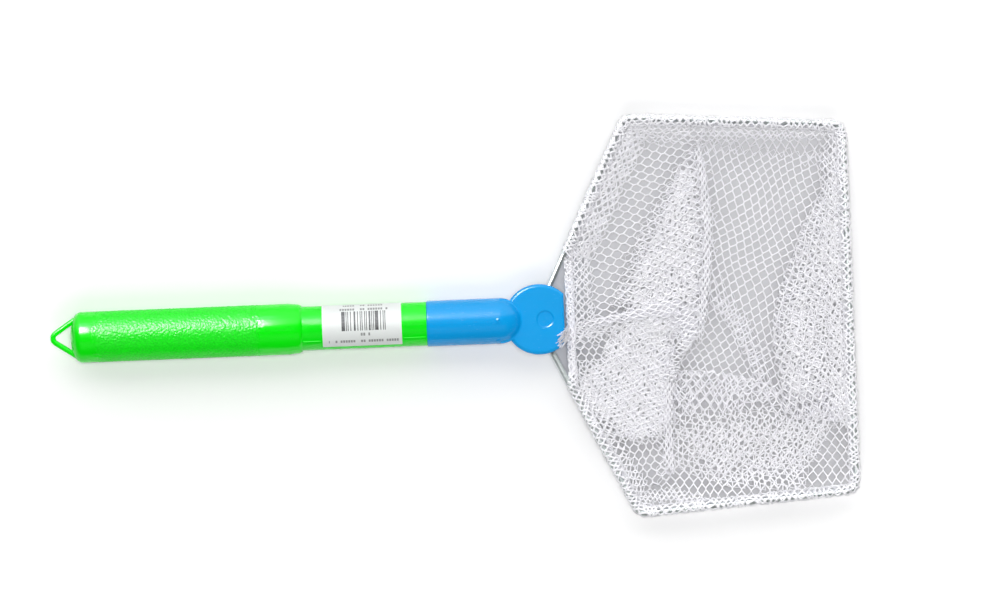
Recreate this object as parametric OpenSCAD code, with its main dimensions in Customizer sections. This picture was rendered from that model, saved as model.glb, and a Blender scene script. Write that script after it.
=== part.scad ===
// Short-handled floating dip net: a moulded handle with a hang loop, a coupling
// that traps the ends of a bent wire hoop, and a knotless netting bag hemmed
// round the hoop.  Millimetres.  +X runs from the handle to the net, +Z is up,
// and the net lies on the plane Z = 0 with the origin under its middle.

/* [Grip] */
// Outside diameter of the grip
grip_d = 29; // [26:0.5:36]
// Length of the grip from its end face to its front edge
grip_len = 132.3; // [90:0.1:200]
// Radius of the crowned end face
grip_crown_r = 30; // [20:1:60]
// Rounding between the crowned end face and the side
grip_corner_r = 5; // [2:0.5:8]
// Length of the shallow cone in front of the grip's shoulder
shoulder_cone_len = 5.5; // [2:0.5:12]
// How much the shallow cone narrows the radius
shoulder_drop = 0.5; // [0.1:0.1:1]
// Rounding of the grip's front edge
shoulder_r = 3; // [2:0.25:4]
// Thickness of the grip's closed end
grip_end_wall = 4.3; // [2.5:0.1:8]

/* [Hang loop] */
// Length of the hang loop outside the grip's end face
loop_len = 13.7; // [9:0.1:30]
// Angle between each arm and the handle's axis
loop_angle = 33.7; // [28:0.1:40]
// Outside radius of the loop's tip
loop_tip_r = 3.9; // [3:0.1:6]
// Width of the loop's band, seen from above
loop_band_w = 3; // [2:0.1:4]
// Depth of the loop's band
loop_band_t = 6; // [3:0.5:10]

/* [Handle tube] */
// Outside diameter of the tube
tube_d = 25; // [20:0.5:25.5]
// Wall of the tube and of its spigot
tube_wall = 1.8; // [1:0.1:3]
// Length of tube that shows between the grip and the coupling
tube_show = 70.2; // [50:0.1:200]
// Diameter of the necked spigot that enters the coupling
spigot_d = 21.6; // [16:0.2:22.5]
// Length of the spigot
spigot_len = 30; // [15:0.5:36]
// Height of the two moulding seams along the tube
seam_h = 0.25; // [0.1:0.05:0.5]
// Angle from the top of the tube down to the near moulding seam
seam_angle = 36; // [20:1:80]
// Thickness of the plug's flange, and of its skirt
plug_t = 2; // [1:0.1:4]
// Depth of the plug in the tube
plug_depth = 8; // [4:0.5:20]

/* [Label] */
// Length of the sticker along the tube
label_len = 45; // [20:0.5:48]
// Gap between the grip's front edge and the sticker
label_offset = 11; // [2:0.5:20]
// Angle from the top of the tube down to the sticker's near edge
label_near_angle = 59.5; // [20:0.5:80]
// Angle from the top of the tube down to the sticker's far edge
label_far_angle = 95; // [20:0.5:110]
// Thickness of the sticker
label_t = 0.15; // [0.1:0.05:0.4]

/* [Coupling] */
// Outside diameter of the socket
socket_d = 26; // [24:0.5:32]
// Length from the socket's mouth to the centre of its domed end
socket_len = 41.6; // [38:0.1:80]
// Rounding of the socket's mouth
socket_lip_r = 0.9; // [0.4:0.1:1.2]
// Distance from the dome's centre to the disc's centre
disc_offset = 22.3; // [20:0.1:30]
// Diameter of the disc
disc_d = 40; // [36:0.5:60]
// Thickness of the disc, cover included
disc_t = 11; // [9:0.5:16]
// Rounding of the disc's rim
disc_rim_r = 2; // [0.5:0.25:3]
// Distance from the disc's centre to its flat front side
disc_flat = 14.25; // [12:0.25:18]
// Chamfer along the edges of the flat front side
flat_chamfer = 1; // [0.4:0.1:2]
// Fillet where the dome stands on the disc
dome_fillet_r = 1.5; // [0.5:0.1:3]
// Diameter of the moulding gate's recess
gate_d = 9.6; // [5:0.2:12]
// Depth of the moulding gate's recess
gate_depth = 0.6; // [0.2:0.1:1]
// Distance from the disc's centre to the gate's recess
gate_offset = 3.2; // [0:0.1:8]
// Diameter of the gate's stub, left in the middle of its recess
gate_stub_d = 1.8; // [1:0.1:3]
// Height of the gate's stub above the recess's floor
gate_stub_h = 0.3; // [0.1:0.05:0.6]
// Diameter of a moulding pip on the socket
pip_d = 2.4; // [1.5:0.1:4]
// Height of a moulding pip
pip_h = 0.4; // [0.2:0.1:0.8]
// Angle from the pip on top of the socket round to the pip on its side
pip_side_angle = 59; // [20:1:90]

/* [Cover screws] */
// Diameter of the screws' shanks
screw_d = 2.9; // [2:0.1:4]
// Diameter of the screws' heads
screw_head_d = 5.6; // [4:0.1:7]
// Height of the screws' heads
screw_head_h = 2; // [1:0.1:3]
// Length of the screws' shanks
screw_len = 6.6; // [4:0.1:7]
// Radius of a screw's blunt tip
screw_tip_r = 0.5; // [0.2:0.1:1]
// Span of the cross recess in a screw's head
recess_span = 3.7; // [2:0.1:5]
// Width of the cross recess
recess_w = 0.7; // [0.4:0.1:1.2]
// Depth of the cross recess
recess_depth = 1; // [0.5:0.1:1.6]
// Distance from the disc's centre forward to the front screw
screw_front = 7.4; // [6:0.1:9]
// Distance from the disc's centre back to the two rear screws
screw_rear = 7.8; // [4:0.1:9]
// Distance from the axis to each rear screw
screw_side = 12; // [11:0.1:13]

/* [Hoop] */
// Diameter of the hoop's wire
wire_d = 3.2; // [2:0.1:4]
// Distance from the disc's centre back to where the slanted sides would meet
apex_back = 2.5; // [0:0.1:4]
// Angle between a slanted side and the handle's axis
slant_angle = 64; // [60:0.5:66]
// Half width between the wire's centres at the rear corners
rear_half = 112.8; // [80:0.1:150]
// Half width between the wire's centres at the front corners
front_half = 104.2; // [70:0.1:150]
// Length from the rear corners to the front bar
hoop_len = 124.1; // [90:0.1:250]
// Bend radius at the corners, at the wire's centre
corner_bend_r = 6; // [4:0.5:15]
// Bend radius inside the disc, at the wire's centre
tail_bend_r = 4; // [3:0.5:5]
// Gap between the wire's two ends, side by side in the disc
tail_gap = 0.6; // [0.2:0.1:2]

/* [Net] */
// Width of the folded hem inside the wire
hem_w = 9; // [6:0.5:16]
// Thickness of one ply of the hem
ply_t = 0.6; // [0.4:0.1:1]
// Gap between the hem's two plies at their inner edge
ply_slit = 0.2; // [0.1:0.1:0.6]
// Gap between the disc's front side and the hem's rear edge
hem_clear = 1.8; // [1:0.1:6]
// Thickness of the bag's collapsed netting
bag_t = 1.2; // [0.8:0.1:2]
// Width of the slope from the hem down to the bag's floor
bag_slope_w = 15; // [8:0.5:30]
// Openings in the netting across the handle's axis
mesh_across = 12; // [6:1:12]
// Openings in the netting along the handle's axis
mesh_along = 9; // [4:1:12]
// Width of the netting left between two openings
mesh_rib = 8; // [4:0.5:10]

/* [Clearances] */
// Radial gap between the tube and the grip, and between the spigot and the socket
tube_gap = 0.1; // [0.05:0.01:0.3]
// Radial gap round what lies inside the tube
core_gap = 0.15; // [0.05:0.01:0.5]
// Radial gap between the wire and its groove
wire_gap = 0.05; // [0.02:0.01:0.2]
// Gap between the cover and the dome's collar
cover_gap = 0.1; // [0.05:0.01:0.3]
// Radial gap round the screws
screw_gap = 0.1; // [0.05:0.01:0.3]
// Gap between the sticker and the tube
label_gap = 0.02; // [0.01:0.01:0.05]
// Gap between netting and what it lies against
net_gap = 0.3; // [0.2:0.05:0.5]

/* [Hidden] */

$fn = 96;
CROWN_FN = 180;    // sides of the circles of the crowned end face and of the dome
HULL_FN = 20;      // sides of the hang loop's band
WIRE_SIDES = 20;   // sides of the wire and of its grooves
HEM_STEPS = 8;     // steps of the hem's fold round the wire
HEM_ARC_START = 50; // angle at which a ply leaves the wire
HEM_CORNER_R = 0.5; // least rounding of the hem's corners
HEM_LAP = 1;       // how far the rear strip reaches into the two sides
BEND_STEPS = 6;    // steps round each bend of the wire
LEAST_STEP = 1;    // least step between two lines of the bag's sheet at its edge
OVER = 1;          // how far a cut runs past the face that it opens
FAR = 1000;        // larger than any piece

// Stations along the handle's axis, counted from the loop's tip
grip_face = loop_len;
grip_front = grip_face + grip_len;
tube_rear = grip_face + grip_end_wall;
tube_front = grip_front + tube_show;
label_x = grip_front + label_offset;
socket_mouth = tube_front;
dome_x = socket_mouth + socket_len;
disc_x = dome_x + disc_offset;
flat_x = disc_x + disc_flat;
apex_x = disc_x - apex_back;
rear_x = apex_x + rear_half / tan(slant_angle);
front_x = rear_x + hoop_len;
hem_rear = flat_x + hem_clear;

// Radii and half sizes
grip_r = grip_d / 2;
tube_r = tube_d / 2;
tube_bore_r = tube_r - tube_wall;
spigot_r = spigot_d / 2;
spigot_bore_r = spigot_r - tube_wall;
socket_r = socket_d / 2;
socket_bore_r = spigot_r + tube_gap;
disc_r = disc_d / 2;
disc_h = disc_t / 2;
wire_r = wire_d / 2;
screw_r = screw_d / 2;
hem_bore_r = wire_r + net_gap;
hem_outer_r = hem_bore_r + ply_t;

// The whole object, its middle under the origin and its grip on Z = 0
overall_len = front_x + hem_outer_r;
axis_z = grip_r;

// ---- shared shapes ----------------------------------------------------

// Puts what is drawn along the handle's axis, from the loop's tip, in its place
module placed() translate([-overall_len / 2, 0, axis_z]) children();

// Turns a profile (radius, station) about the handle's axis
module revolved() rotate([0, 90, 0]) rotate_extrude() children();

// A straight rod along the handle's axis
module rod(r, from, to) translate([from, 0, 0]) rotate([0, 90, 0]) cylinder(r = r, h = to - from);

// ---- grip ---------------------------------------------------------------

corner_r_out = grip_r - grip_corner_r;
crown_reach = grip_crown_r - grip_corner_r;
corner_x = grip_face + grip_crown_r - sqrt(crown_reach ^ 2 - corner_r_out ^ 2);
crown_edge_r = corner_r_out * grip_crown_r / crown_reach;
cone_r = grip_r - shoulder_drop;
cone_front = grip_front - shoulder_r;

module grip_profile() {
    // crowned end face
    intersection() {
        translate([0, grip_face + grip_crown_r]) circle(r = grip_crown_r, $fn = CROWN_FN);
        translate([0, grip_face - OVER]) square([crown_edge_r, corner_x - grip_face + OVER]);
    }
    // rounding between the end face and the side
    translate([corner_r_out, corner_x]) circle(r = grip_corner_r);
    // side and shallow cone
    polygon([[0, corner_x], [grip_r, corner_x], [grip_r, cone_front - shoulder_cone_len],
             [cone_r, cone_front], [0, cone_front]]);
    // rounded front edge
    translate([cone_r - shoulder_r, cone_front]) circle(r = shoulder_r);
    translate([0, cone_front - OVER]) square([cone_r - shoulder_r, shoulder_r + OVER]);
}

// Centre line of the loop's band: its tip's arc, then an arm into the grip's corner
loop_line_r = loop_tip_r - loop_band_w / 2;
loop_arc_steps = 4;
loop_arc = [for (i = [0 : loop_arc_steps])
    let (a = 90 + loop_angle + i * (180 - 2 * loop_angle) / loop_arc_steps)
    [loop_tip_r + loop_line_r * cos(a), loop_line_r * sin(a)]];
loop_arm_len = (corner_x - loop_arc[0].x) / cos(loop_angle) - loop_band_w;
loop_arm = loop_arm_len * [cos(loop_angle), sin(loop_angle)];
loop_line = concat([loop_arc[0] + loop_arm], loop_arc,
                   [loop_arc[loop_arc_steps] + [loop_arm.x, -loop_arm.y]]);

module loop_bead(p) translate(p) scale([1, 1, loop_band_t / loop_band_w])
    sphere(d = loop_band_w, $fn = HULL_FN);

module hang_loop() {
    for (i = [0 : len(loop_line) - 2])
        hull() {
            loop_bead(loop_line[i]);
            loop_bead(loop_line[i + 1]);
        }
}

module grip() color([0.17, 0.93, 0.27]) placed() difference() {
    union() {
        revolved() grip_profile();
        hang_loop();
    }
    rod(tube_r + tube_gap, tube_rear, grip_front + OVER);
}

// ---- handle tube and what it holds --------------------------------------

// Low ridge that the halves of the mould leave, clear of the sticker
module tube_seam(angle, from, to) rotate([angle, 0, 0])
    translate([from, 0, tube_r - seam_h]) rotate([45, 0, 0]) cube([to - from, 2 * seam_h, 2 * seam_h]);

module handle_tube() color([0.05, 0.9, 0.15]) placed() difference() {
    union() {
        rod(tube_r, tube_rear, tube_front);
        rod(spigot_r, tube_front - OVER, tube_front + spigot_len);
        for (angle = [seam_angle, seam_angle + 180]) {
            tube_seam(angle, grip_front, label_x - OVER);
            tube_seam(angle, label_x + label_len + OVER, tube_front - OVER);
        }
    }
    rod(tube_bore_r, tube_rear - OVER, tube_front - tube_wall);
    rod(spigot_bore_r, tube_front - tube_wall - OVER, tube_front + spigot_len + OVER);
}

// Closed-cell foam that fills the tube and keeps the net afloat
module float_core() color([0.93, 0.93, 0.9]) placed()
    rod(tube_bore_r - core_gap, tube_rear + core_gap, tube_front - tube_wall - core_gap);

// Flanged plug that seals the spigot's open end
module tube_plug() color([0.2, 0.2, 0.22]) placed() {
    spigot_end = tube_front + spigot_len;
    difference() {
        rod(spigot_bore_r - tube_gap, spigot_end - plug_depth, spigot_end);
        rod(spigot_bore_r - tube_gap - plug_t, spigot_end - plug_depth - OVER, spigot_end - plug_t);
    }
    rod(spigot_r, spigot_end, spigot_end + plug_t);
}

// Paper sticker, bent round the top of the tube
module label() color([0.9, 0.9, 0.92]) placed()
    translate([label_x, 0, 0])
        rotate([0, 90, 0])
            rotate_extrude(angle = label_near_angle + label_far_angle, start = 180 - label_far_angle)
                translate([tube_r + label_gap, 0]) square([label_t, label_len]);

// ---- hoop ---------------------------------------------------------------

tail_y = wire_r + tail_gap / 2;
tail_x = dome_x + socket_r + cover_gap + wire_gap;
tail_corner = [apex_x + tail_y / tan(slant_angle), tail_y];
rear_corner = [rear_x, rear_half];
front_corner = [front_x, front_half];
half_hoop = [[tail_x, tail_y], tail_corner, rear_corner, front_corner];
half_bends = [0, tail_bend_r, corner_bend_r, corner_bend_r];

function mirrored(p) = [p.x, -p.y];
function reversed(list) = [for (i = [len(list) - 1 : -1 : 0]) list[i]];
function heading(a, b) = (b - a) / norm(b - a);
function angle_of(v) = atan2(v.y, v.x);
function turned(a) = a > 180 ? a - 360 : a < -180 ? a + 360 : a;

// The wire's centre line, from one end in the disc round the hoop to the other
hoop_path = concat([for (p = half_hoop) mirrored(p)], reversed(half_hoop));
hoop_bends = concat(half_bends, reversed(half_bends));

// Stations [place, heading] round the bend at corner i: its tangent points and those between
function bend_stations(p, bends, i) =
    let (before = heading(p[i - 1], p[i]),
         turn = turned(angle_of(heading(p[i], p[i + 1])) - angle_of(before)),
         side = sign(turn) * [-before.y, before.x],
         centre = p[i] - before * bends[i] * tan(abs(turn) / 2) + side * bends[i])
    [for (k = [0 : BEND_STEPS])
        let (a = turn * k / BEND_STEPS)
        [centre - bends[i] * (side * cos(a) - before * sin(abs(a))), angle_of(before) + a]];

// A round wire along a flat path, as one closed skin of rings
module bent_wire(p, bends, r, sides) {
    last = len(p) - 1;
    stations = concat([[p[0], angle_of(heading(p[0], p[1]))]],
                      [for (i = [1 : last - 1]) each bend_stations(p, bends, i)],
                      [[p[last], angle_of(heading(p[last - 1], p[last]))]]);
    rings = len(stations);
    points = [for (s = stations, k = [0 : sides - 1])
        let (t = (k + 0.5) * 360 / sides)
        [s[0].x - r * cos(t) * sin(s[1]), s[0].y + r * cos(t) * cos(s[1]), r * sin(t)]];
    skin = [for (n = [0 : rings - 2], k = [0 : sides - 1], half = [0, 1])
        let (a = n * sides + k, b = n * sides + (k + 1) % sides)
        half == 0 ? [a, b + sides, b] : [a, a + sides, b + sides]];
    ends = [[for (k = [0 : sides - 1]) k],
            [for (k = [sides - 1 : -1 : 0]) (rings - 1) * sides + k]];
    polyhedron(points, concat(skin, ends));
}

module hoop_wire() color([0.72, 0.74, 0.76]) placed() bent_wire(hoop_path, hoop_bends, wire_r, WIRE_SIDES);

// ---- coupling -----------------------------------------------------------

screw_places = [[disc_x + screw_front, 0],
                [disc_x - screw_rear, screw_side],
                [disc_x - screw_rear, -screw_side]];

// Room for the wire's ends: two tail bores, two slanted bores and a pocket for the bends
groove_r = wire_r + wire_gap;
slant_way = [cos(slant_angle), sin(slant_angle)];
bend_end = tail_corner + slant_way * tail_bend_r * tan(slant_angle / 2);
pocket_r = norm(bend_end - [tail_corner.x, 0]) + groove_r;
module wire_grooves() {
    for (side = [-1, 1]) {
        translate([0, side * tail_y, 0]) rod(groove_r, tail_x - wire_gap, tail_corner.x);
        translate([tail_corner.x, side * tail_y, 0]) rotate([0, 90, side * slant_angle])
            cylinder(r = groove_r, h = disc_d);
    }
    translate([tail_corner.x, 0, -groove_r]) cylinder(r = pocket_r, h = 2 * groove_r);
}

// The disc's outline with a rounded rim on its outer face, above the parting plane
module half_disc() intersection() {
    translate([disc_x, 0, 0]) rotate_extrude() {
        square([disc_r, disc_h - disc_rim_r]);
        square([disc_r - disc_rim_r, disc_h]);
        translate([disc_r - disc_rim_r, disc_h - disc_rim_r]) circle(r = disc_rim_r);
    }
    translate([0, FAR / 2, 0]) rotate([90, 0, 0]) linear_extrude(FAR)
        polygon([[dome_x, 0], [flat_x, 0], [flat_x, disc_h - flat_chamfer],
                 [flat_x - flat_chamfer, disc_h], [dome_x, disc_h]]);
}

module socket_profile() {
    translate([0, socket_mouth + socket_lip_r]) square([socket_r, socket_len - socket_lip_r]);
    translate([0, socket_mouth]) square([socket_r - socket_lip_r, socket_lip_r]);
    translate([socket_r - socket_lip_r, socket_mouth + socket_lip_r]) circle(r = socket_lip_r);
    intersection() {
        translate([0, dome_x]) circle(r = socket_r, $fn = CROWN_FN);
        square([FAR, FAR]);
    }
}

// Concave blend between the dome and the disc's outer face
fillet_reach = sqrt((socket_r + dome_fillet_r) ^ 2 - (disc_h + dome_fillet_r) ^ 2);
fillet_share = socket_r / (socket_r + dome_fillet_r);
module dome_fillet() translate([dome_x, 0, 0])
    rotate([0, 0, -90]) rotate_extrude(angle = 180) difference() {
        polygon([[fillet_reach, disc_h - OVER], [fillet_reach, disc_h],
                 [fillet_reach * fillet_share, (disc_h + dome_fillet_r) * fillet_share],
                 [fillet_reach * fillet_share - OVER, disc_h - OVER]]);
        translate([fillet_reach, disc_h + dome_fillet_r]) circle(r = dome_fillet_r);
    }

module moulding_pip(angle) rotate([angle, 0, 0])
    translate([dome_x - pip_d / 2, 0, 0]) cylinder(d = pip_d, h = socket_r + pip_h);

module coupling_body() color([0.05, 0.66, 0.93]) placed() difference() {
    union() {
        revolved() socket_profile();
        half_disc();
        dome_fillet();
        // collar that fills in under the dome, beside the cover
        translate([dome_x, 0, -disc_h]) cylinder(r = socket_r, h = disc_h);
        for (angle = [0, pip_side_angle]) moulding_pip(angle);
    }
    // bore for the tube's spigot
    rod(socket_bore_r, socket_mouth - OVER, tube_front + spigot_len + plug_t + tube_gap);
    wire_grooves();
    // pilot holes for the cover's screws
    for (p = screw_places)
        translate([p.x, p.y, -OVER])
            cylinder(r = screw_r + screw_gap, h = screw_len - disc_h + screw_head_h + screw_gap + OVER);
    // recess of the moulding gate, round the gate's stub
    translate([disc_x + gate_offset, 0, disc_h - gate_depth]) difference() {
        cylinder(d = gate_d, h = gate_depth + OVER);
        cylinder(d = gate_stub_d, h = gate_stub_h);
    }
}

// Lower half of the disc, screwed on from below over the wire's ends
module coupling_cover() color([0.04, 0.6, 0.86]) placed() difference() {
    mirror([0, 0, 1]) half_disc();
    translate([dome_x, 0, -disc_h - OVER])
        cylinder(r = socket_r + cover_gap, h = disc_h + 2 * OVER);
    wire_grooves();
    for (p = screw_places)
        translate([p.x, p.y, -disc_h - OVER]) {
            cylinder(r = screw_r + screw_gap, h = disc_h + 2 * OVER);
            cylinder(d = screw_head_d + 2 * screw_gap, h = screw_head_h + OVER);
        }
}

module cover_screw() {
    difference() {
        cylinder(d = screw_head_d, h = screw_head_h);
        // cross recess
        for (turn = [0, 90])
            rotate([0, 0, turn])
                translate([-recess_span / 2, -recess_w / 2, -OVER])
                    cube([recess_span, recess_w, OVER + recess_depth]);
    }
    translate([0, 0, screw_head_h]) cylinder(r = screw_r, h = screw_len - screw_r);
    translate([0, 0, screw_head_h + screw_len - screw_r])
        cylinder(r1 = screw_r, r2 = screw_tip_r, h = screw_r);
}

module cover_screws() color([0.75, 0.76, 0.78]) placed()
    for (p = screw_places) translate([p.x, p.y, -disc_h]) cover_screw();

// ---- net ----------------------------------------------------------------

// The hoop's sides as lines: an outward normal and its distance from the loop's tip
slant_normal = [-sin(slant_angle), cos(slant_angle)];
side_heading = heading(rear_corner, front_corner);
side_normal = [-side_heading.y, side_heading.x];
rear_line = [[-1, 0], -hem_rear];
slant_line = [slant_normal, slant_normal * rear_corner];
side_line = [side_normal, side_normal * rear_corner];
front_line = [[1, 0], front_x];

function inset(line, d) = [line[0], line[1] - d];
function flipped(line) = [mirrored(line[0]), line[1]];
function meet(a, b) =
    let (det = a[0].x * b[0].y - a[0].y * b[0].x)
    [(a[1] * b[0].y - b[1] * a[0].y) / det, (a[0].x * b[1] - b[0].x * a[1]) / det];

// The sides that the wire follows, in order, and the stations along them
wire_lines = [slant_line, side_line, front_line, flipped(side_line), flipped(slant_line)];

// Point on the wire's outline moved inwards by d: stations 0 and last are at the hem's rear
// edge, and the others go round the corners
function hem_point(corner, step, d) =
    let (rest = max(corner_bend_r - d, HEM_CORNER_R),
         before = wire_lines[corner], after = wire_lines[corner + 1],
         share = step / BEND_STEPS,
         centre = meet(inset(before, d + rest), inset(after, d + rest)),
         out = before[0] * (1 - share) + after[0] * share)
    centre + rest * out / norm(out);
function hem_start(line, d) = meet(rear_line, inset(line, d));

// The folded edge in section, [inwards from the wire's centre, up]: two plies that
// part round the wire and meet at the inner edge
ply_in = ply_slit / 2;
ply_out = ply_in + ply_t;
hem_arc = [for (i = [0 : HEM_STEPS]) HEM_ARC_START + i * (360 - 2 * HEM_ARC_START) / HEM_STEPS];
hem_section = concat([[hem_w, ply_out]],
                     [for (a = hem_arc) hem_outer_r * [cos(a), sin(a)]],
                     [[hem_w, -ply_out], [hem_w, -ply_in]],
                     [for (a = reversed(hem_arc)) hem_bore_r * [cos(a), sin(a)]],
                     [[hem_w, ply_in]]);

// The netting's edge, folded over the wire and sewn down inside it
module net_hem() color([0.95, 0.96, 0.97]) placed() {
    stations = concat([[for (q = hem_section) hem_start(slant_line, q.x)]],
                      [for (c = [0 : len(wire_lines) - 2], k = [0 : BEND_STEPS])
                          [for (q = hem_section) hem_point(c, k, q.x)]],
                      [[for (q = hem_section) hem_start(flipped(slant_line), q.x)]]);
    n = len(hem_section);
    points = [for (row = stations, k = [0 : n - 1]) [row[k].x, row[k].y, hem_section[k].y]];
    skin = [for (i = [0 : len(stations) - 2], k = [0 : n - 1], half = [0, 1])
        let (a = i * n + k, b = i * n + (k + 1) % n)
        half == 0 ? [a, b, a + n] : [b, b + n, a + n]];
    last = (len(stations) - 1) * n;
    // each end is closed ply by ply, from the outer skin across to the inner
    ends = [for (k = [0 : n / 2 - 2], half = [0, 1])
        let (a = k, b = k + 1, c = n - 2 - k, d = n - 1 - k)
        half == 0 ? [a, d, b] : [b, d, c]];
    polyhedron(points, concat(skin, ends,
        [for (face = ends) [face[0] + last, face[2] + last, face[1] + last]]));
    // the stretch behind the disc, where no wire runs
    translate([0, 0, -ply_out]) linear_extrude(2 * ply_out)
        polygon(concat(rear_strip, [for (p = reversed(rear_strip)) mirrored(p)]));
}
rear_strip = [meet(rear_line, inset(slant_line, hem_w - HEM_LAP)),
              meet(inset(rear_line, hem_w), inset(slant_line, hem_w - HEM_LAP))];

// Main folds of the collapsed bag, in plan: [from, to, height, half width],
// from the hoop's middle, as a share of its half width across and its half length along
bag_folds = [
    [[-0.02, 0.84], [-0.05, -0.14], 4.4, 7],
    [[-0.95, -0.06], [-0.14, 0.02], 4.2, 7],
    [[-0.30, -0.18], [-0.36, -0.80], 4.0, 6],
    [[-0.28, -0.32], [0.86, -0.42], 3.2, 8],
    [[0.46, 0.05], [0.86, 0.76], 3.4, 8],
    [[0.50, -0.05], [0.62, -0.80], 2.6, 9]
];

bag_in = hem_w / 2;
bag_rear = hem_rear + bag_in;
bag_front = front_x - bag_in;
bag_mid_x = (bag_rear + bag_front) / 2;
bag_half_len = (bag_front - bag_rear) / 2;
// how far the hem's lower ply lies below the axis where the bag's rim meets it
fold_edge = hem_outer_r * [cos(HEM_ARC_START), sin(HEM_ARC_START)];
rim_share = (hem_w - bag_in) / (hem_w - fold_edge.x);
rim_z = axis_z - ply_out - rim_share * (fold_edge.y - ply_out) - net_gap - bag_t;

function line_half(line, x) = (line[1] - line[0].x * x) / line[0].y;
function bag_half(x) = min(line_half(inset(slant_line, bag_in), x), line_half(inset(side_line, bag_in), x));
function line_gap(line, p) = line[1] - line[0] * p;
function edge_gap(p) = let (q = [p.x, abs(p.y)])
    min(line_gap(inset(rear_line, bag_in), q), line_gap(inset(slant_line, bag_in), q),
        line_gap(inset(side_line, bag_in), q), line_gap(inset(front_line, bag_in), q));
function fold_point(share) = [bag_mid_x + share.x * bag_half_len, share.y * rear_half];
function off_segment(p, a, b) =
    let (t = max(0, min(1, (p - a) * (b - a) / ((b - a) * (b - a)))))
    norm(p - a - t * (b - a));
function fold_rise(p, fold) =
    fold[2] * exp(-(off_segment(p, fold_point(fold[0]), fold_point(fold[1])) / fold[3]) ^ 2);
function smooth(t) = let (s = max(0, min(1, t))) s * s * (3 - 2 * s);

// Height of the netting's underside at a point of the plan
function bag_under(p) =
    let (way = smooth(edge_gap(p) / bag_slope_w))
    rim_z * (1 - way) + way * max([for (fold = bag_folds) fold_rise(p, fold)]);

// The bag's openings stand in a plain grid that clears its rim: the station where the first
// one starts, and the step to the next, along and across
narrow_half = bag_half(bag_front);
mesh_from = [bag_rear + mesh_rib, mesh_rib - narrow_half];
mesh_step = [(bag_front - bag_rear - mesh_rib) / mesh_along, (2 * narrow_half - mesh_rib) / mesh_across];

// Lines of the sheet along an axis: the start, the middle and the end of each opening
function mesh_lines(axis, count) =
    [for (k = [0 : count - 1], share = [0, 0.5, 1])
        mesh_from[axis] + k * mesh_step[axis] + share * (mesh_step[axis] - mesh_rib)];
lines_x = concat([bag_rear, bag_rear + mesh_rib / 2], mesh_lines(0, mesh_along),
                 [bag_front - mesh_rib / 2, bag_front]);
half_lines_y = [narrow_half - mesh_rib / 2, narrow_half + mesh_rib / 2, FAR];
lines_y = concat(-reversed(half_lines_y), mesh_lines(1, mesh_across), half_lines_y);
lines_last = len(lines_y) - 1;

// Each row of the sheet ends on the rim, at the first line that reaches it
row_ends = [for (x = lines_x)
    [for (j = [0 : lines_last]) if (lines_y[j] > bag_half(x) - LEAST_STEP) j][0]];
row_starts = [for (i = 0, at = 0; i < len(lines_x);
                   at = at + 2 * row_ends[i] - lines_last + 1, i = i + 1) at];
function in_row(i, j) = max(lines_last - row_ends[i], min(row_ends[i], j));
function sheet_point(i, j, lift) =
    let (x = lines_x[i], half = bag_half(x),
         y = j == row_ends[i] ? half : j == lines_last - row_ends[i] ? -half : lines_y[j])
    [x, y, bag_under([x, y]) + lift];

// From where to where the opening runs that is nearest before a place on an axis
function opening_span(place, axis) =
    let (k = floor((place - mesh_from[axis]) / mesh_step[axis]),
         from = mesh_from[axis] + k * mesh_step[axis])
    [from, from + mesh_step[axis] - mesh_rib];
function in_opening(p) =
    let (along = opening_span(p.x, 0), across = opening_span(p.y, 1))
    p.x < along[1] && p.y < across[1]
        && min([for (x = along, y = across) edge_gap([x, y])]) > mesh_rib / 2;

// Whether the sheet has netting in cell [i, j], between lines i and i + 1, and j and j + 1
cells = [for (i = [0 : len(lines_x) - 2])
    [for (j = [0 : lines_last - 1])
        !in_opening([lines_x[i] + lines_x[i + 1], lines_y[j] + lines_y[j + 1]] / 2)]];
function has_netting(i, j) = cells[i][j] == true;
// The number of the point at a cell's corner
function corner(cell, step) =
    let (i = cell[0] + step[0])
    row_starts[i] + in_row(i, cell[1] + step[1]) - (lines_last - row_ends[i]);
// A cell's sides: from this corner, to this corner, towards this neighbour
CELL_SIDES = [[[0, 0], [0, 1], [-1, 0]], [[0, 1], [1, 1], [0, 1]],
              [[1, 1], [1, 0], [1, 0]], [[1, 0], [0, 0], [0, -1]]];

// The collapsed bag: one sheet with a grid of openings that slopes from the hem down to
// the ground, open above
module net_bag() color([0.97, 0.98, 0.99]) translate([-overall_len / 2, 0, 0]) {
    points = [for (lift = [0, bag_t], i = [0 : len(lines_x) - 1],
                   j = [lines_last - row_ends[i] : row_ends[i]])
        sheet_point(i, j, lift)];
    layer = len(points) / 2;
    kept = [for (i = [0 : len(lines_x) - 2], j = [0 : lines_last - 1]) if (cells[i][j]) [i, j]];
    under = [for (c = kept, half = [0, 1])
        let (a = corner(c, [0, 1]), b = corner(c, [1, 0]), rest = corner(c, [half, half]))
        if (a != b && b != rest && rest != a) half == 0 ? [rest, b, a] : [a, b, rest]];
    upper = [for (face = under) [face[0] + layer, face[2] + layer, face[1] + layer]];
    // walls where a cell has no neighbour: round the openings and along the rim
    walls = [for (c = kept, side = CELL_SIDES, half = [0, 1])
        let (a = corner(c, side[0]), b = corner(c, side[1]))
        if (!has_netting(c[0] + side[2][0], c[1] + side[2][1]) && a != b)
            half == 0 ? [a, b, b + layer] : [a, b + layer, a + layer]];
    polyhedron(points, concat(under, upper, walls));
}

// ---- nodes --------------------------------------------------------------

grip();
handle_tube();
float_core();
tube_plug();
label();
coupling_body();
coupling_cover();
cover_screws();
hoop_wire();
net_hem();
net_bag();
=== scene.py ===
"""Looks of a short-handled floating dip net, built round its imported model.

Blender works in metres; the classes below hold millimetres in the model's own
frame, with +X from the handle to the net and +Z up, and MM turns them into metres.
"""

import logging
import math
from dataclasses import dataclass
from enum import Enum
from typing import Any, Sequence

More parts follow.
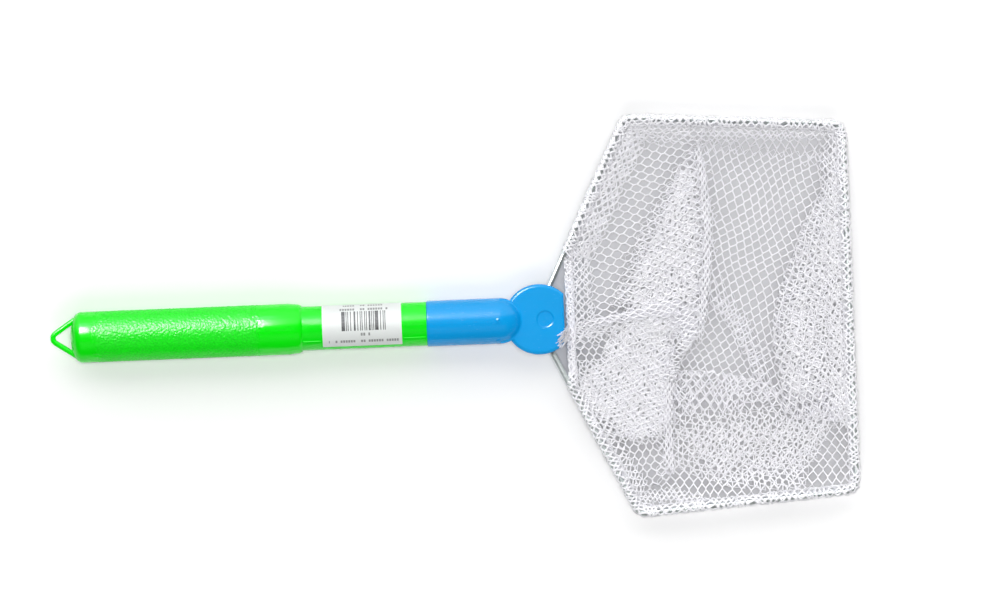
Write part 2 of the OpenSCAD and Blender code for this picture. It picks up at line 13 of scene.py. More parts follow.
import bpy
import numpy as np
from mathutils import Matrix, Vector


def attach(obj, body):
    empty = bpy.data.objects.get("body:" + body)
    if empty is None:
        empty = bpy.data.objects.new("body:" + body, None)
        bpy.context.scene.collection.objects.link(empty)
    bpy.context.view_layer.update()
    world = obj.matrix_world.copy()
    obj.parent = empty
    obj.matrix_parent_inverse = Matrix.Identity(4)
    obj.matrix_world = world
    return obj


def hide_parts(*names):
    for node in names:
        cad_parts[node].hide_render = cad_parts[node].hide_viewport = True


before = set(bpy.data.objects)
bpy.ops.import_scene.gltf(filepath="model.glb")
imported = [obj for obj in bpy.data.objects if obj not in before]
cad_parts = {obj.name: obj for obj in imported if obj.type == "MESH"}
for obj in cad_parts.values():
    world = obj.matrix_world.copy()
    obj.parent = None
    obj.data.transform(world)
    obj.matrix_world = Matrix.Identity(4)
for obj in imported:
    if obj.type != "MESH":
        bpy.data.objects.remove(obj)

MM = 0.001
BODY = "root"
# From the hang loop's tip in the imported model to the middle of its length
HALF_LENGTH = 229.608
AXIS_HEIGHT = 14.5
# Where the grip's stipple starts and ends, from the hang loop's tip
STIPPLE = (25.0, 124.0)
# Points closer than this are one point
DOUBLES = 0.004 * MM
LOG = logging.getLogger("dip_net")

Colour = tuple[float, float, float]
Point = tuple[float, float]
Spot = tuple[float, float, float]


def srgb(red: int, green: int, blue: int) -> Colour:
    """Turns display values from 0 to 255 into a linear colour."""
    def linear(value: int) -> float:
        """Linear value of one display channel."""
        share = value / 255
        return share / 12.92 if share <= 0.04045 else ((share + 0.055) / 1.055) ** 2.4
    return linear(red), linear(green), linear(blue)


# ---- shader building ------------------------------------------------------------------


class Socket:
    """A node's output that takes part in Python arithmetic and adds its Math nodes."""

    def __init__(self, shader: "Shader", link: bpy.types.NodeSocket) -> None:
        """Keeps the output and the shader that new nodes go into."""
        self.shader = shader
        self.link = link

    def _math(self, operation: str, *values: Any) -> "Socket":
        """Result of a Math node whose inputs are these values in order."""
        return self.shader.node("ShaderNodeMath", {"operation": operation},
                                dict(enumerate(values)))

    def __add__(self, other: Any) -> "Socket":
        """Sum of this value and another."""
        return self._math("ADD", self, other)

    __radd__ = __add__

    def __sub__(self, other: Any) -> "Socket":
        """This value less another."""
        return self._math("SUBTRACT", self, other)

    def __rsub__(self, other: Any) -> "Socket":
        """Another value less this one."""
        return self._math("SUBTRACT", other, self)

    def __mul__(self, other: Any) -> "Socket":
        """Product of this value and another."""
        return self._math("MULTIPLY", self, other)

    __rmul__ = __mul__

    def __truediv__(self, other: Any) -> "Socket":
        """This value over another."""
        return self._math("DIVIDE", self, other)

    def other(self, out: int | str) -> "Socket":
        """Another output of the same node, by name or number."""
        return Socket(self.shader, self.link.node.outputs[out])

    def above(self, limit: Any) -> "Socket":
        """One where this value is over the limit, else nought."""
        return self._math("GREATER_THAN", self, limit)

    def below(self, limit: Any) -> "Socket":
        """One where this value is under the limit, else nought."""
        return self._math("LESS_THAN", self, limit)

    def whole(self) -> "Socket":
        """This value without its fraction."""
        return self._math("FLOOR", self)

    def fraction(self) -> "Socket":
        """This value's fraction."""
        return self._math("FRACT", self)

    def square(self) -> "Socket":
        """This value times itself."""
        return self * self

    def root(self) -> "Socket":
        """Square root of this value."""
        return self._math("SQRT", self)

    def angle(self, other: Any) -> "Socket":
        """Angle of the point whose height is this value over the other one, in radians."""
        return self._math("ARCTAN2", self, other)

    def step_up(self, low: float, high: float) -> "Socket":
        """A smooth rise from nought at low to one at high."""
        return self.shader.node(
            "ShaderNodeMapRange",
            {"interpolation_type": "SMOOTHSTEP"},
            {"Value": self, "From Min": low, "From Max": high},
        )


class NodeTree:
    """A node tree under construction."""

    def __init__(self, tree: bpy.types.NodeTree) -> None:
        """Empties the tree."""
        self.tree = tree
        self.tree.nodes.clear()

    def node(
        self,
        kind: str,
        settings: dict[str, Any] | None = None,
        inputs: dict[Any, Any] | None = None,
        out: int | str = 0,
    ) -> Socket:
        """Adds a node.

        Args:
            kind: Blender's type of the node.
            settings: Its properties, set first.
            inputs: Values or sockets for its inputs, by name or number.
            out: Which output to give back.

        Returns:
            The chosen output.
        """
        node = self.tree.nodes.new(kind)
        for key, value in (settings or {}).items():
            setattr(node, key, value)
        self.feed(node, inputs or {})
        return Socket(self, node.outputs[out])

    def feed(self, node: bpy.types.Node, inputs: dict[Any, Any]) -> None:
        """Sets or links a node's inputs.

        Args:
            node: The node.
            inputs: Values or sockets, by the input's name or number.
        """
        for key, value in inputs.items():
            if isinstance(value, Socket):
                self.tree.links.new(value.link, node.inputs[key])
            else:
                kept = node.inputs[key]
                plain = kept.type == "RGBA" and len(value) == 3
                kept.default_value = (*value, 1.0) if plain else value

    def mix(self, share: Any, first: Any, second: Any) -> Socket:
        """Blend of two colours, all the first at a share of nought."""
        return self.node("ShaderNodeMix", {"data_type": "RGBA"},
                         {0: share, 6: first, 7: second}, out=2)


class Shader(NodeTree):
    """A material under construction, round one Principled BSDF."""

    def __init__(self, name: str) -> None:
        """Starts an empty node material of that name."""
        self.material = bpy.data.materials.new(name)
        self.material.use_nodes = True
        super().__init__(self.material.node_tree)
        self.surface = self.tree.nodes.new("ShaderNodeBsdfPrincipled")
        self.output = self.tree.nodes.new("ShaderNodeOutputMaterial")
        self.tree.links.new(self.surface.outputs[0], self.output.inputs["Surface"])

    def dress(self, **inputs: Any) -> None:
        """Feeds the Principled BSDF; an underscore in a name stands for a space."""
        self.feed(self.surface, {key.replace("_", " "): v for key, v in inputs.items()})

    def place(self) -> Socket:
        """Object coordinates, in metres in the model's frame."""
        return self.node("ShaderNodeTexCoord", out="Object")

    def axes(self) -> tuple[Socket, Socket, Socket]:
        """The three Object coordinates by themselves."""
        along = self.node("ShaderNodeSeparateXYZ", inputs={"Vector": self.place()})
        return along, along.other(1), along.other(2)

    def noise(self, scale: float, detail: float = 2.0, roughness: float = 0.5,
              stretch: Sequence[float] = (1.0, 1.0, 1.0)) -> Socket:
        """Noise from nought to one over Object coordinates.

        Args:
            scale: Features per metre.
            detail: Octaves.
            roughness: Share of the finer octaves.
            stretch: Factor on each axis.

        Returns:
            The noise.
        """
        place = self.node("ShaderNodeVectorMath", {"operation": "MULTIPLY"},
                          {0: self.place(), 1: tuple(stretch)})
        return self.node("ShaderNodeTexNoise", inputs={
            "Vector": place, "Scale": scale, "Detail": detail, "Roughness": roughness})

    def bump(self, height: Socket, distance: float, strength: float = 1.0) -> None:
        """Feeds Normal with a relief from nought to one, that distance deep in metres."""
        self.dress(Normal=self.node("ShaderNodeBump", inputs={
            "Height": height, "Distance": distance, "Strength": strength}))


# ---- finishes -------------------------------------------------------------------------


@dataclass(frozen=True)
class Finish:
    """How a surface looks: a node material round one Principled BSDF."""

    name: str

    def dress(self, shader: Shader) -> None:
        """Fills in the material's nodes, in each finish its own."""
        raise NotImplementedError

    def material(self) -> bpy.types.Material:
        """The finished material."""
        shader = Shader(self.name)
        self.dress(shader)
        return shader.material


@dataclass(frozen=True)
class MouldedPlastic(Finish):
    """Injection-moulded plastic: faint flow bands, fine scuffs and a satin skin."""

    colour: Colour
    shade: Colour
    roughness: float = 0.22
    specular: float = 0.5
    grain: float = 0.00004

    def relief(self, shader: Shader) -> Socket:
        """Relief of the skin, in grains."""
        return shader.noise(2600, 2)

    def skin(self, shader: Shader) -> tuple[Socket, Socket]:
        """Starts the plastic's skin.

        Args:
            shader: The material under construction.

        Returns:
            The skin's colour, and its roughness where nothing has scuffed it.
        """
        shader.dress(Specular_IOR_Level=self.specular, IOR=1.49)
        flow = shader.noise(55, 3, stretch=(0.5, 1, 1)).step_up(0.35, 0.75)
        return shader.mix(flow * 0.5, self.colour, self.shade), flow * 0.05 + self.roughness

    def dress(self, shader: Shader) -> None:
        """Fills in the material's nodes.

        Args:
            shader: The material under construction.
        """
        colour, plain = self.skin(shader)
        scuffs = shader.noise(900, 3, 0.6, stretch=(0.25, 1, 1)).step_up(0.55, 0.8)
        shader.dress(Base_Color=colour, Roughness=scuffs * 0.14 + plain)
        shader.bump(self.relief(shader), self.grain, 0.5)


@dataclass(frozen=True)
class StippledPlastic(MouldedPlastic):
    """The grip's plastic: glossy at both ends, spark-eroded and dull between them, where darker
    random specks are painted shade of its pits.
    """

    zone: Point = STIPPLE
    fade: float = 9.0
    dull: float = 0.3
    # Darker green of the specks: painted shade of the stipple's pits
    pit_shade: Colour = srgb(0, 160, 24)
    shade_speckle: float = 0.32
    depth: float = 0.00005

    def dress(self, shader: Shader) -> None:
        """Fills in the material's nodes.

        Args:
            shader: The material under construction.
        """
        colour, plain = self.skin(shader)
        station = shader.axes()[0] / MM + HALF_LENGTH
        low, high = self.zone
        zone = (station.step_up(low, low + self.fade)
                * (1 - station.step_up(high - self.fade, high)))
        pits, grains = shader.noise(2600, 1), shader.noise(1500, 1)
        # Darker random specks in the stippled zone: painted shade standing in for its pits
        shade_speckle = zone * grains.step_up(0.45, 0.6) * self.shade_speckle
        shader.dress(
            Base_Color=shader.mix(shade_speckle, colour, self.pit_shade),
            Roughness=zone * (pits * self.dull + 0.04) + plain,
        )
        shader.bump(zone * pits + shader.noise(300, 2) * 0.02, self.depth, 0.8)


@dataclass(frozen=True)
class GatedPlastic(MouldedPlastic):
    """The coupling's plastic, with softened edges at its gate's recess and at its pip.

    The gate and the pip are given by their places in plan and their radii.
    """

    gate: Spot = (53.9, 0.0, 4.6)
    gate_edge: float = 0.9
    gate_depth: float = 0.0006
    pip: Spot = (27.1, 0.4, 1.3)
    pip_height: float = 0.0008

    def relief(self, shader: Shader) -> Socket:
        """Relief of the skin, the gate's edge and the pip, in grains."""
        along, side, _ = shader.axes()

        def away(spot: Spot) -> Socket:
            """Distance in plan from a place, in millimetres."""
            return ((along / MM - spot[0]).square() + (side / MM - spot[1]).square()).root()

        inner = self.gate[2] - self.gate_edge / 2
        ring = away(self.gate).step_up(inner, inner + self.gate_edge)
        pip = 1 - away(self.pip).step_up(0.0, self.pip[2])
        return (super().relief(shader) + ring * (self.gate_depth / self.grain)
                + pip * (self.pip_height / self.grain))


@dataclass(frozen=True)
class PrintedPaper(Finish):
    """Off-white sticker with plain bars and ruled dashes that stand for its print.

    Angles run round the tube from its top, in degrees, to the left side of the axis.
    """

    name: str = "sticker_paper"
    paper: Colour = srgb(224, 228, 226)
    ink: Colour = srgb(26, 26, 30)
    bars: Point = (167.0, 193.0)
    bars_round: Point = (-10.5, 43.0)
    bar_pitch: float = 0.5
    bar_order: float = 0.618
    bar_chance: float = 0.7
    bar_least: float = 0.78
    rows: tuple[tuple[float, float, float], ...] = (
        (69.0, 169.0, 192.0), (50.5, 166.5, 194.5), (-20.5, 176.0, 184.0),
        (-40.5, 160.5, 200.0))
    row_half: float = 4.0
    dash: float = 1.45
    dash_gap: float = 0.26
    dash_ink: float = 0.75
    blanks: float = 0.16

    def dress(self, shader: Shader) -> None:
        """Fills in the material's nodes.

        Args:
            shader: The material under construction.
        """
        along, side, height = shader.axes()
        station = along / MM + HALF_LENGTH
        angle = side.angle(height - AXIS_HEIGHT * MM) * math.degrees(1)

        def chance(cell: Socket) -> Socket:
            """A chance value for each whole number."""
            return shader.node("ShaderNodeTexWhiteNoise", {"noise_dimensions": "1D"}, {"W": cell})

        cell = (station / self.bar_pitch).whole()
        bars = ((cell * self.bar_order).fraction()
                + chance(cell + 7) * self.bar_chance).above(self.bar_least)
        place = station / self.dash
        dashes = place.fraction().above(self.dash_gap) * chance(place.whole()).above(self.blanks)
        first, last = self.bars
        low, high = self.bars_round
        print_ = (bars * station.above(first) * station.below(last)
                  * angle.above(low) * angle.below(high))
        for middle, start, end in self.rows:
            offset = angle - middle
            row = offset.above(-self.row_half) * offset.below(self.row_half) * self.dash_ink
            print_ = print_ + row * dashes * station.above(start) * station.below(end)
        fibres = shader.noise(900, 3)
        shader.dress(
            Base_Color=shader.mix(print_ * (fibres * 0.3 + 0.75), self.paper, self.ink),
            Roughness=fibres * 0.15 + 0.5,
        )
        shader.bump(fibres, 0.00003, 0.4)


@dataclass(frozen=True)
class ZincWire(Finish):
    """Galvanised steel: a dull mottled zinc skin."""

    name: str = "galvanised_wire"
    roughness: float = 0.3

    def dress(self, shader: Shader) -> None:
        """Fills in the material's nodes.

        Args:
            shader: The material under construction.
        """
        mottle = shader.noise(420, 3)
        shader.dress(
            Base_Color=shader.mix(mottle, srgb(176, 184, 182), srgb(216, 221, 220)),
            Metallic=0.9,
            Roughness=mottle * 0.2 + self.roughness,
        )
        shader.bump(shader.noise(1500, 3), 0.00005, 0.4)


@dataclass(frozen=True)
class NetThread(Finish):
    """Bright white polyester thread, with the twist of its strands as fine relief."""

    name: str = "white_netting"
    colour: Colour = srgb(245, 244, 250)
    shade: Colour = srgb(237, 236, 244)

    def dress(self, shader: Shader) -> None:
        """Fills in the material's nodes.

        Args:
            shader: The material under construction.
        """
        tone = shader.noise(240, 2)
        shader.dress(
            Base_Color=shader.mix(tone, self.colour, self.shade),
            Roughness=0.62,
            Subsurface_Weight=0.8,
            Subsurface_Radius=(1.0, 1.0, 1.0),
            Subsurface_Scale=0.0012,
        )
        shader.bump(shader.noise(2800, 2), 0.00012, 0.5)


def dress_node(node: str, finish: Finish) -> None:
    """Puts a finish on every slot of a carried CAD node.

    Args:
        node: The node's name.
        finish: Its new finish.
    """
    material = finish.material()
    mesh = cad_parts[node].data
    if not mesh.materials:
        mesh.materials.append(material)
    for index in range(len(mesh.materials)):
        mesh.materials[index] = material
    LOG.info("dressed %s with %s", node, material.name)


# ---- modelling bench ------------------------------------------------------------------


def at(station: float, side: float = 0.0, height: float = 0.0) -> Vector:
    """Point in the frame, from millimetres past the loop's tip and off the handle's axis."""
    return Vector(((station - HALF_LENGTH) * MM, side * MM, (AXIS_HEIGHT + height) * MM))


def arc(centre: Point, radius: float, start: float, end: float, steps: int) -> list[Point]:
    """Points along an arc between two angles in radians, both ends included."""
    angles = [start + (end - start) * k / steps for k in range(steps + 1)]
    return [(centre[0] + radius * math.cos(a), centre[1] + radius * math.sin(a)) for a in angles]


def stand(name: str, data: bpy.types.ID) -> bpy.types.Object:
    """Links a new object to the scene and leaves it the only one selected.

    Args:
        name: Its name.
        data: Its mesh, curve, lamp or camera.

    Returns:
        The object.
    """
    item = bpy.data.objects.new(name, data)
    bpy.context.scene.collection.objects.link(item)
    bpy.ops.object.select_all(action="DESELECT")
    bpy.context.view_layer.objects.active = item
    item.select_set(True)
    return item


class Bench:
    """One piece on the bench, shaped from a primitive with Blender's own tools."""

    def __init__(self, name: str) -> None:
        """Clears the selection and keeps the piece's name."""
        bpy.ops.object.select_all(action="DESELECT")
        self.name = name

    def start(self) -> None:
        """Settles the new primitive's place and opens all of it for editing."""
        self.item = bpy.context.object
        self.item.name = self.item.data.name = self.name
        bpy.ops.object.transform_apply(location=True, rotation=True, scale=True)
        bpy.ops.object.mode_set(mode="EDIT")
        bpy.ops.mesh.select_all(action="SELECT")

    def vertex(self, place: Vector) -> None:
        """Starts from a plane merged to one point at that place."""
        bpy.ops.mesh.primitive_plane_add(size=MM, location=(0, 0, 0))
        self.start()
        bpy.ops.mesh.merge(type="CENTER")
        bpy.ops.transform.translate(value=place)

    def disc(self, place: Vector, radius: float, sides: int) -> None:
        """Starts from a filled circle that faces along the handle, its radius in millimetres."""
        bpy.ops.mesh.primitive_circle_add(vertices=sides, radius=radius * MM, fill_type="NGON",
                                          location=place, rotation=(0, math.pi / 2, 0))
        self.start()

    def pull(self, way: Vector) -> None:
        """Extrudes what is selected."""
        bpy.ops.mesh.extrude_region_move(TRANSFORM_OT_translate={"value": way})

    def swing(self, centre: Vector, axis: Spot, angle: float, steps: int) -> None:
        """Spins what is selected about an axis, anticlockwise and in radians."""
        bpy.ops.mesh.spin(steps=steps, angle=-angle, center=centre, axis=axis)

    def chain(self, spots: Sequence[Vector]) -> None:
        """Draws a line point by point and selects all of it."""
        self.vertex(spots[0])
        for before, after in zip(spots, spots[1:]):
            self.pull(after - before)
        bpy.ops.mesh.select_all(action="SELECT")

    def turned(self, profile: Sequence[Point], sides: int) -> None:
        """Draws a profile of stations and radii and spins it round the handle's axis."""
        self.chain([at(station, 0.0, radius) for station, radius in profile])
        self.swing(at(0.0), (1, 0, 0), math.tau, sides)

    def close(self, crease: float = 40.0) -> bpy.types.Object:
        """Merges doubles, turns the faces outwards and leaves edit mode.

        Args:
            crease: Angle in degrees past which an edge stays sharp.

        Returns:
            The piece.
        """
        bpy.ops.mesh.select_all(action="SELECT")
        bpy.ops.mesh.remove_doubles(threshold=DOUBLES)
        bpy.ops.mesh.normals_make_consistent(inside=False)
        bpy.ops.object.mode_set(mode="OBJECT")
        bpy.ops.object.shade_smooth_by_angle(angle=math.radians(crease))
        return self.item


def settle(item: bpy.types.Object, material: bpy.types.Material, slot: str, *nodes: str) -> None:
    """Dresses a finished piece, hangs it from the body and hides the CAD nodes that it replaces.

    Args:
        item: The piece.
        material: Its material.
        slot: Not used.
        nodes: The CAD nodes that it replaces.
    """
    item.data.materials.append(material)
    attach(item, BODY)
    if nodes:
        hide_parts(*nodes)
    LOG.info("made %s, %d faces", item.name, len(item.data.polygons))


# ---- handle ---------------------------------------------------------------------------


@dataclass(frozen=True)
class Grip:
    """Moulded grip: crowned end with its hang loop, stippled side and rounded front."""

    face: float = 13.7
    front: float = 146.0
    side_r: float = 14.5
    crown_r: float = 30.0
    corner_r: float = 5.0
    shoulder_r: float = 3.0
    cone: float = 5.5
    cone_drop: float = 0.5
    bore_r: float = 12.6
    bore_end: float = 18.0
    stipple: Point = STIPPLE
    stipple_pitch: float = 0.42
    stipple_depth: float = 0.5
    stipple_grain: float = 0.75
    stipple_fade: float = 4.0
    stipple_sink: float = 0.85
    sides: int = 216
    round_steps: int = 7
    bend_steps: int = 8
    loop_tip: float = 7.0
    loop_r: float = 3.2
    loop_angle: float = 33.7
    loop_arm: float = 15.5
    band: Point = (3.0, 6.0)
    band_round: float = 1.4

    def profile(self) -> list[Point]:
        """Stations and radii from the crown's pole round to the bottom of the bore."""
        flat_r, reach = self.side_r - self.corner_r, self.crown_r - self.corner_r
        crown_x = self.face + self.crown_r
        corner_x = crown_x - math.sqrt(reach**2 - flat_r**2)
        edge = math.pi - math.asin(flat_r / reach)
        cone_r, cone_end = self.side_r - self.cone_drop, self.front - self.shoulder_r
        low, high = self.stipple
        count = round((high - low) / self.stipple_pitch)
        lip = math.asin((self.bore_r - cone_r + self.shoulder_r) / self.shoulder_r)
        return [
            *arc((crown_x, 0.0), self.crown_r, math.pi, edge, self.round_steps),
            *arc((corner_x, flat_r), self.corner_r, edge, math.pi / 2, self.bend_steps)[1:],
            *[(low + (high - low) * k / count, self.side_r) for k in range(count + 1)],
            (cone_end - self.cone, self.side_r),
            *arc((cone_end, cone_r - self.shoulder_r), self.shoulder_r, math.pi / 2, lip,
                 self.round_steps),
            (self.bore_end, self.bore_r),
            (self.bore_end, 0.0),
        ]

    def body(self) -> bpy.types.Object:
        """Turns the grip's closed skin and raises its stipple.

        Returns:
            The grip without its loop.
        """
        bench = Bench("grip_moulding")
        bench.turned(self.profile(), self.sides)
        item = bench.close()
        low, high = self.stipple
        group = item.vertex_groups.new(name="stipple")
        for vertex in item.data.vertices:
            station = vertex.co.x / MM + HALF_LENGTH
            radius = math.hypot(vertex.co.y, vertex.co.z - AXIS_HEIGHT * MM) / MM
            share = min(station - low, high - station) / self.stipple_fade
            if radius > (self.bore_r + self.side_r) / 2 and share > 0:
                group.add([vertex.index], min(share, 1.0), "REPLACE")
        grain = bpy.data.textures.new("stipple_grain", "CLOUDS")
        grain.noise_scale = self.stipple_grain * MM
        grain.noise_depth = 0
        raised = item.modifiers.new("stipple", "DISPLACE")
        raised.texture = grain
        raised.texture_coords = "LOCAL"
        raised.strength = self.stipple_depth * MM
        raised.mid_level = self.stipple_sink
        raised.vertex_group = group.name
        bpy.ops.object.modifier_apply(modifier=raised.name)
        return item

    def loop(self) -> bpy.types.Object:
        """Bends the hang loop's band from one arm round the tip to the other.

        Returns:
            The loop, its arms' ends inside the grip's corner.
        """
        bench = Bench("hang_loop")
        tilt = math.radians(self.loop_angle)
        arm = Vector((math.cos(tilt), math.sin(tilt), 0.0)) * self.loop_arm * MM
        rise = Vector((-math.sin(tilt), math.cos(tilt), 0.0)) * self.loop_r * MM
        width, depth = self.band
        bpy.ops.mesh.primitive_plane_add(size=MM, location=(0, 0, 0), rotation=(0, math.pi / 2, 0))
        bench.start()
        bpy.ops.transform.resize(value=(1, width, depth), center_override=(0, 0, 0))
        bpy.ops.mesh.bevel(offset=self.band_round * MM, segments=4, affect="VERTICES")
        bpy.ops.mesh.select_all(action="SELECT")
        bpy.ops.transform.rotate(value=-tilt, orient_axis="Z", center_override=(0, 0, 0))
        bpy.ops.transform.translate(value=at(self.loop_tip) + rise + arm)
        bench.pull(-arm)
        bench.swing(at(self.loop_tip), (0, 0, 1), math.pi - 2 * tilt, self.bend_steps)
        bench.pull(Vector((arm.x, -arm.y, 0.0)))
        return bench.close()

    def build(self, finish: Finish) -> None:
        """Makes the grip and its loop one piece.

        Args:
            finish: The grip's plastic.
        """
        loop, body = self.loop(), self.body()
        loop.select_set(True)
        bpy.context.view_layer.objects.active = body
        bpy.ops.object.join()
        settle(body, finish.material(), "grip_plastic", "grip")


# ---- hoop and netting -----------------------------------------------------------------


# Least share of a sheet's flat area, and least flat width, that may be declared
LEAST_SHARE = 0.32
LEAST_WIDTH = 10.2
# Distance from the wire's line at which the lays' cells start, and at which they sink
RIM_GAP = 2.6
RIM_FLAT = 4.5
# A cell with a side of this many pitches is torn off
STRETCH = 2.0
# How far past its outline a lay's mesh is spread, before it wanders
SPREAD = 4.0
# Most of the way from a joint to the middle of a cell that a thread's skin may reach
MITRE = 0.8
# Least height of a thread's skin over the ground
CLEARANCE = 0.1
# Waves of the whole heap's height: height, seed and length
HEAVE = (0.7, 7.0, 34.0)
# Waves of a crumpled lay's height: height, shift of the lay's seed and length
RUFFLE = (0.3, 5.0, 11.0)
# Waves of a lay's rows along X and Y: shift of the lay's seed and length
SWAY_WAVES = ((1, 62), (4, 55))
CRUMPLE_WAVES = ((9, 15), (12, 17))


def curve_through(points: Sequence[Point], steps: int = 8) -> np.ndarray:
    """Smooth open curve through points in plan.

    Args:
        points: At least three points.
        steps: Pieces between two points.

    Returns:
        The curve's points, one row each.
    """
    p = np.array(points, float)
    p = np.vstack([2 * p[0] - p[1], p, 2 * p[-1] - p[-2]])
    a, b, c, d = (p[k:len(p) - 3 + k, None] for k in range(4))
    t = np.arange(steps)[:, None] / steps
    curve = 0.5 * (2 * b + (c - a) * t + (2 * a - 5 * b + 4 * c - d) * t**2
                   + (3 * b - a - 3 * c + d) * t**3)
    return np.vstack([curve.reshape(-1, 2), p[-2]])


def inside(points: np.ndarray, outline: np.ndarray) -> np.ndarray:
    """Which points lie inside a closed outline.

    Args:
        points: One row each.
        outline: The outline's corners.

    Returns:
        True or False for each point.
    """
    x, y = points[:, 0], points[:, 1]
    found = np.zeros(len(points), bool)
    for a, b in zip(outline, np.roll(outline, -1, axis=0)):
        crosses = (a[1] > y) != (b[1] > y)
        rise = b[1] - a[1] if b[1] != a[1] else 1e-9
        found ^= crosses & (x < (b[0] - a[0]) * (y - a[1]) / rise + a[0])
    return found


def smooth(share: np.ndarray) -> np.ndarray:
    """Smooth step of a share, held between nought and one."""
    s = np.clip(share, 0, 1)
    return s * s * (3 - 2 * s)


def unit(rows: np.ndarray) -> np.ndarray:
    """Rows scaled to length one."""
    return rows / np.maximum(np.linalg.norm(rows, axis=-1, keepdims=True), 1e-9)


def ripple(points: np.ndarray, seed: float, length: float) -> np.ndarray:
    """A gentle wave field from a few crossed sines.

    Args:
        points: Plan points, one row each.
        seed: Turns and shifts the waves.
        length: Their rough wavelength in millimetres.

    Returns:
        The height for each point, about -1 to 1.
    """
    total = np.zeros(len(points))
    for k, share in enumerate((0.5, 0.3, 0.2)):
        turn = seed * 2.3 + k * 1.9
        along = points[:, 0] * math.cos(turn) + points[:, 1] * math.sin(turn)
        total += share * np.sin(along * 2 * math.pi / (length / (1 + 0.6 * k)) + seed * (k + 3))
    return total


@dataclass(frozen=True)
class Hoop:
    """The bent wire's centre line and the distances of the netting from it."""

    rear: float = 66.55
    apex: float = 47.992
    slant: float = 64.0
    rear_corner: Point = (103.008, 112.8)
    front_corner: Point = (227.108, 104.2)
    height: float = AXIS_HEIGHT
    wire: float = 1.6
    tail: Point = (41.342, 1.9)
    tail_bend: float = 4.0
    corner_bend: float = 6.0
    wire_sides: int = 24
    bend_steps: int = 10

    def sides(self) -> list[tuple[np.ndarray, float]]:
        """The six sides as outward normals and their distances from the frame's middle.

        Returns:
            Rear edge, slant, side and front bar, then the mirrored side and slant.
        """
        slant = np.array([-math.sin(math.radians(self.slant)), math.cos(math.radians(self.slant))])
        rear, front = np.array(self.rear_corner), np.array(self.front_corner)
        along = (front - rear) / np.linalg.norm(front - rear)
        side = np.array([-along[1], along[0]])
        upper = [(slant, slant @ rear), (side, side @ rear)]
        lower = [(n * [1, -1], d) for n, d in reversed(upper)]
        return [(np.array([-1.0, 0.0]), -self.rear), *upper,
                (np.array([1.0, 0.0]), front[0]), *lower]

    def gap(self, points: np.ndarray) -> np.ndarray:
        """How far plan points lie inside the wire's centre line."""
        return np.min([d - points @ n for n, d in self.sides()], axis=0)

    def build(self, finish: Finish) -> None:
        """Bends the wire from one end in the disc round the hoop to the other.

        Args:
            finish: The wire's finish.
        """
        tail_corner = (self.apex + self.tail[1] / math.tan(math.radians(self.slant)), self.tail[1])
        half = [self.tail, tail_corner, self.rear_corner, self.front_corner]
        turns = [0.0, self.tail_bend, self.corner_bend, self.corner_bend]
        corners = [Vector((x, -y, self.height)) * MM for x, y in half]
        corners += [Vector((x, y, self.height)) * MM for x, y in reversed(half)]
        bends = turns + turns[::-1]
        bench = Bench("bent_wire")
        bench.disc(corners[0], self.wire, self.wire_sides)
        spent = 0.0
        for k in range(1, len(corners)):
            run = corners[k] - corners[k - 1]
            way = run.normalized()
            turn, reach = 0.0, 0.0
            if k < len(corners) - 1:
                after = (corners[k + 1] - corners[k]).normalized()
                turn = math.atan2(way.cross(after).z, way.dot(after))
                reach = bends[k] * MM * math.tan(abs(turn) / 2)
            bench.pull(way * (run.length - spent - reach))
            if turn:
                left = Vector((-way.y, way.x, 0.0)) * math.copysign(bends[k] * MM, turn)
                bench.swing(corners[k] - way * reach + left, (0, 0, 1), turn,
                            self.bend_steps)
            spent = reach
        settle(bench.close(60), finish.material(), "wire_steel", "hoop_wire")


HOOP = Hoop()


def hex_corners(column: int, row: int) -> tuple[tuple[int, int, int], ...]:
    """The six joints round a cell: their column, their row and their end of the link there."""
    return ((column + 1, row, 1), (column, row + 1, -1), (column - 1, row, 1),
            (column - 1, row, -1), (column, row - 1, 1), (column + 1, row, -1))


@dataclass(frozen=True)
class Weave:
    """A knotless mesh: cells in offset rows, joined by short links.

    The angle turns the rows from the frame's X axis, in degrees.
    """

    pitch: float = 5.3
    row: float = 4.0
    link: float = 1.2
    angle: float = 0.0

    def cover(self, thread: float) -> float:
        """Half the skin of threads of this diameter, over the netting's flat area."""
        run = self.link + 2 * math.hypot(self.pitch / 2, self.row - self.link)
        return min(max(run * math.pi * thread / 2 / (self.pitch * self.row), LEAST_SHARE), 1.0)

    def cells(self, low: np.ndarray, high: np.ndarray) -> tuple[np.ndarray, np.ndarray, np.ndarray]:
        """Lays the cells over a box in plan.

        Args:
            low: The box's lowest corner.
            high: Its highest corner.

        Returns:
            Cell centres, joint places, and each cell's six joints by number.
        """
        turn = math.radians(self.angle)
        across = np.array([math.cos(turn), math.sin(turn)])
        along = np.array([-math.sin(turn), math.cos(turn)])
        middle = (low + high) / 2
        reach = np.linalg.norm(high - low) / 2
        rows = int(reach / self.row) + 2
        half = 2 * (int(reach / self.pitch) + 2)
        h = self.link / 2 / self.row
        centres, hexes, joints = [], [], {}
        for j in range(-rows, rows + 1):
            for m in range(j % 2 - half, half + 1, 2):
                hexes.append([joints.setdefault(key, len(joints)) for key in hex_corners(m, j)])
                centres.append((m / 2, j))
        keys = np.array([(m / 2, j + end * h) for m, j, end in joints])
        scale = np.array([self.pitch, self.row])
        spread = np.array([across, along])
        return (middle + np.array(centres) * scale @ spread,
                middle + keys * scale @ spread, np.array(hexes))


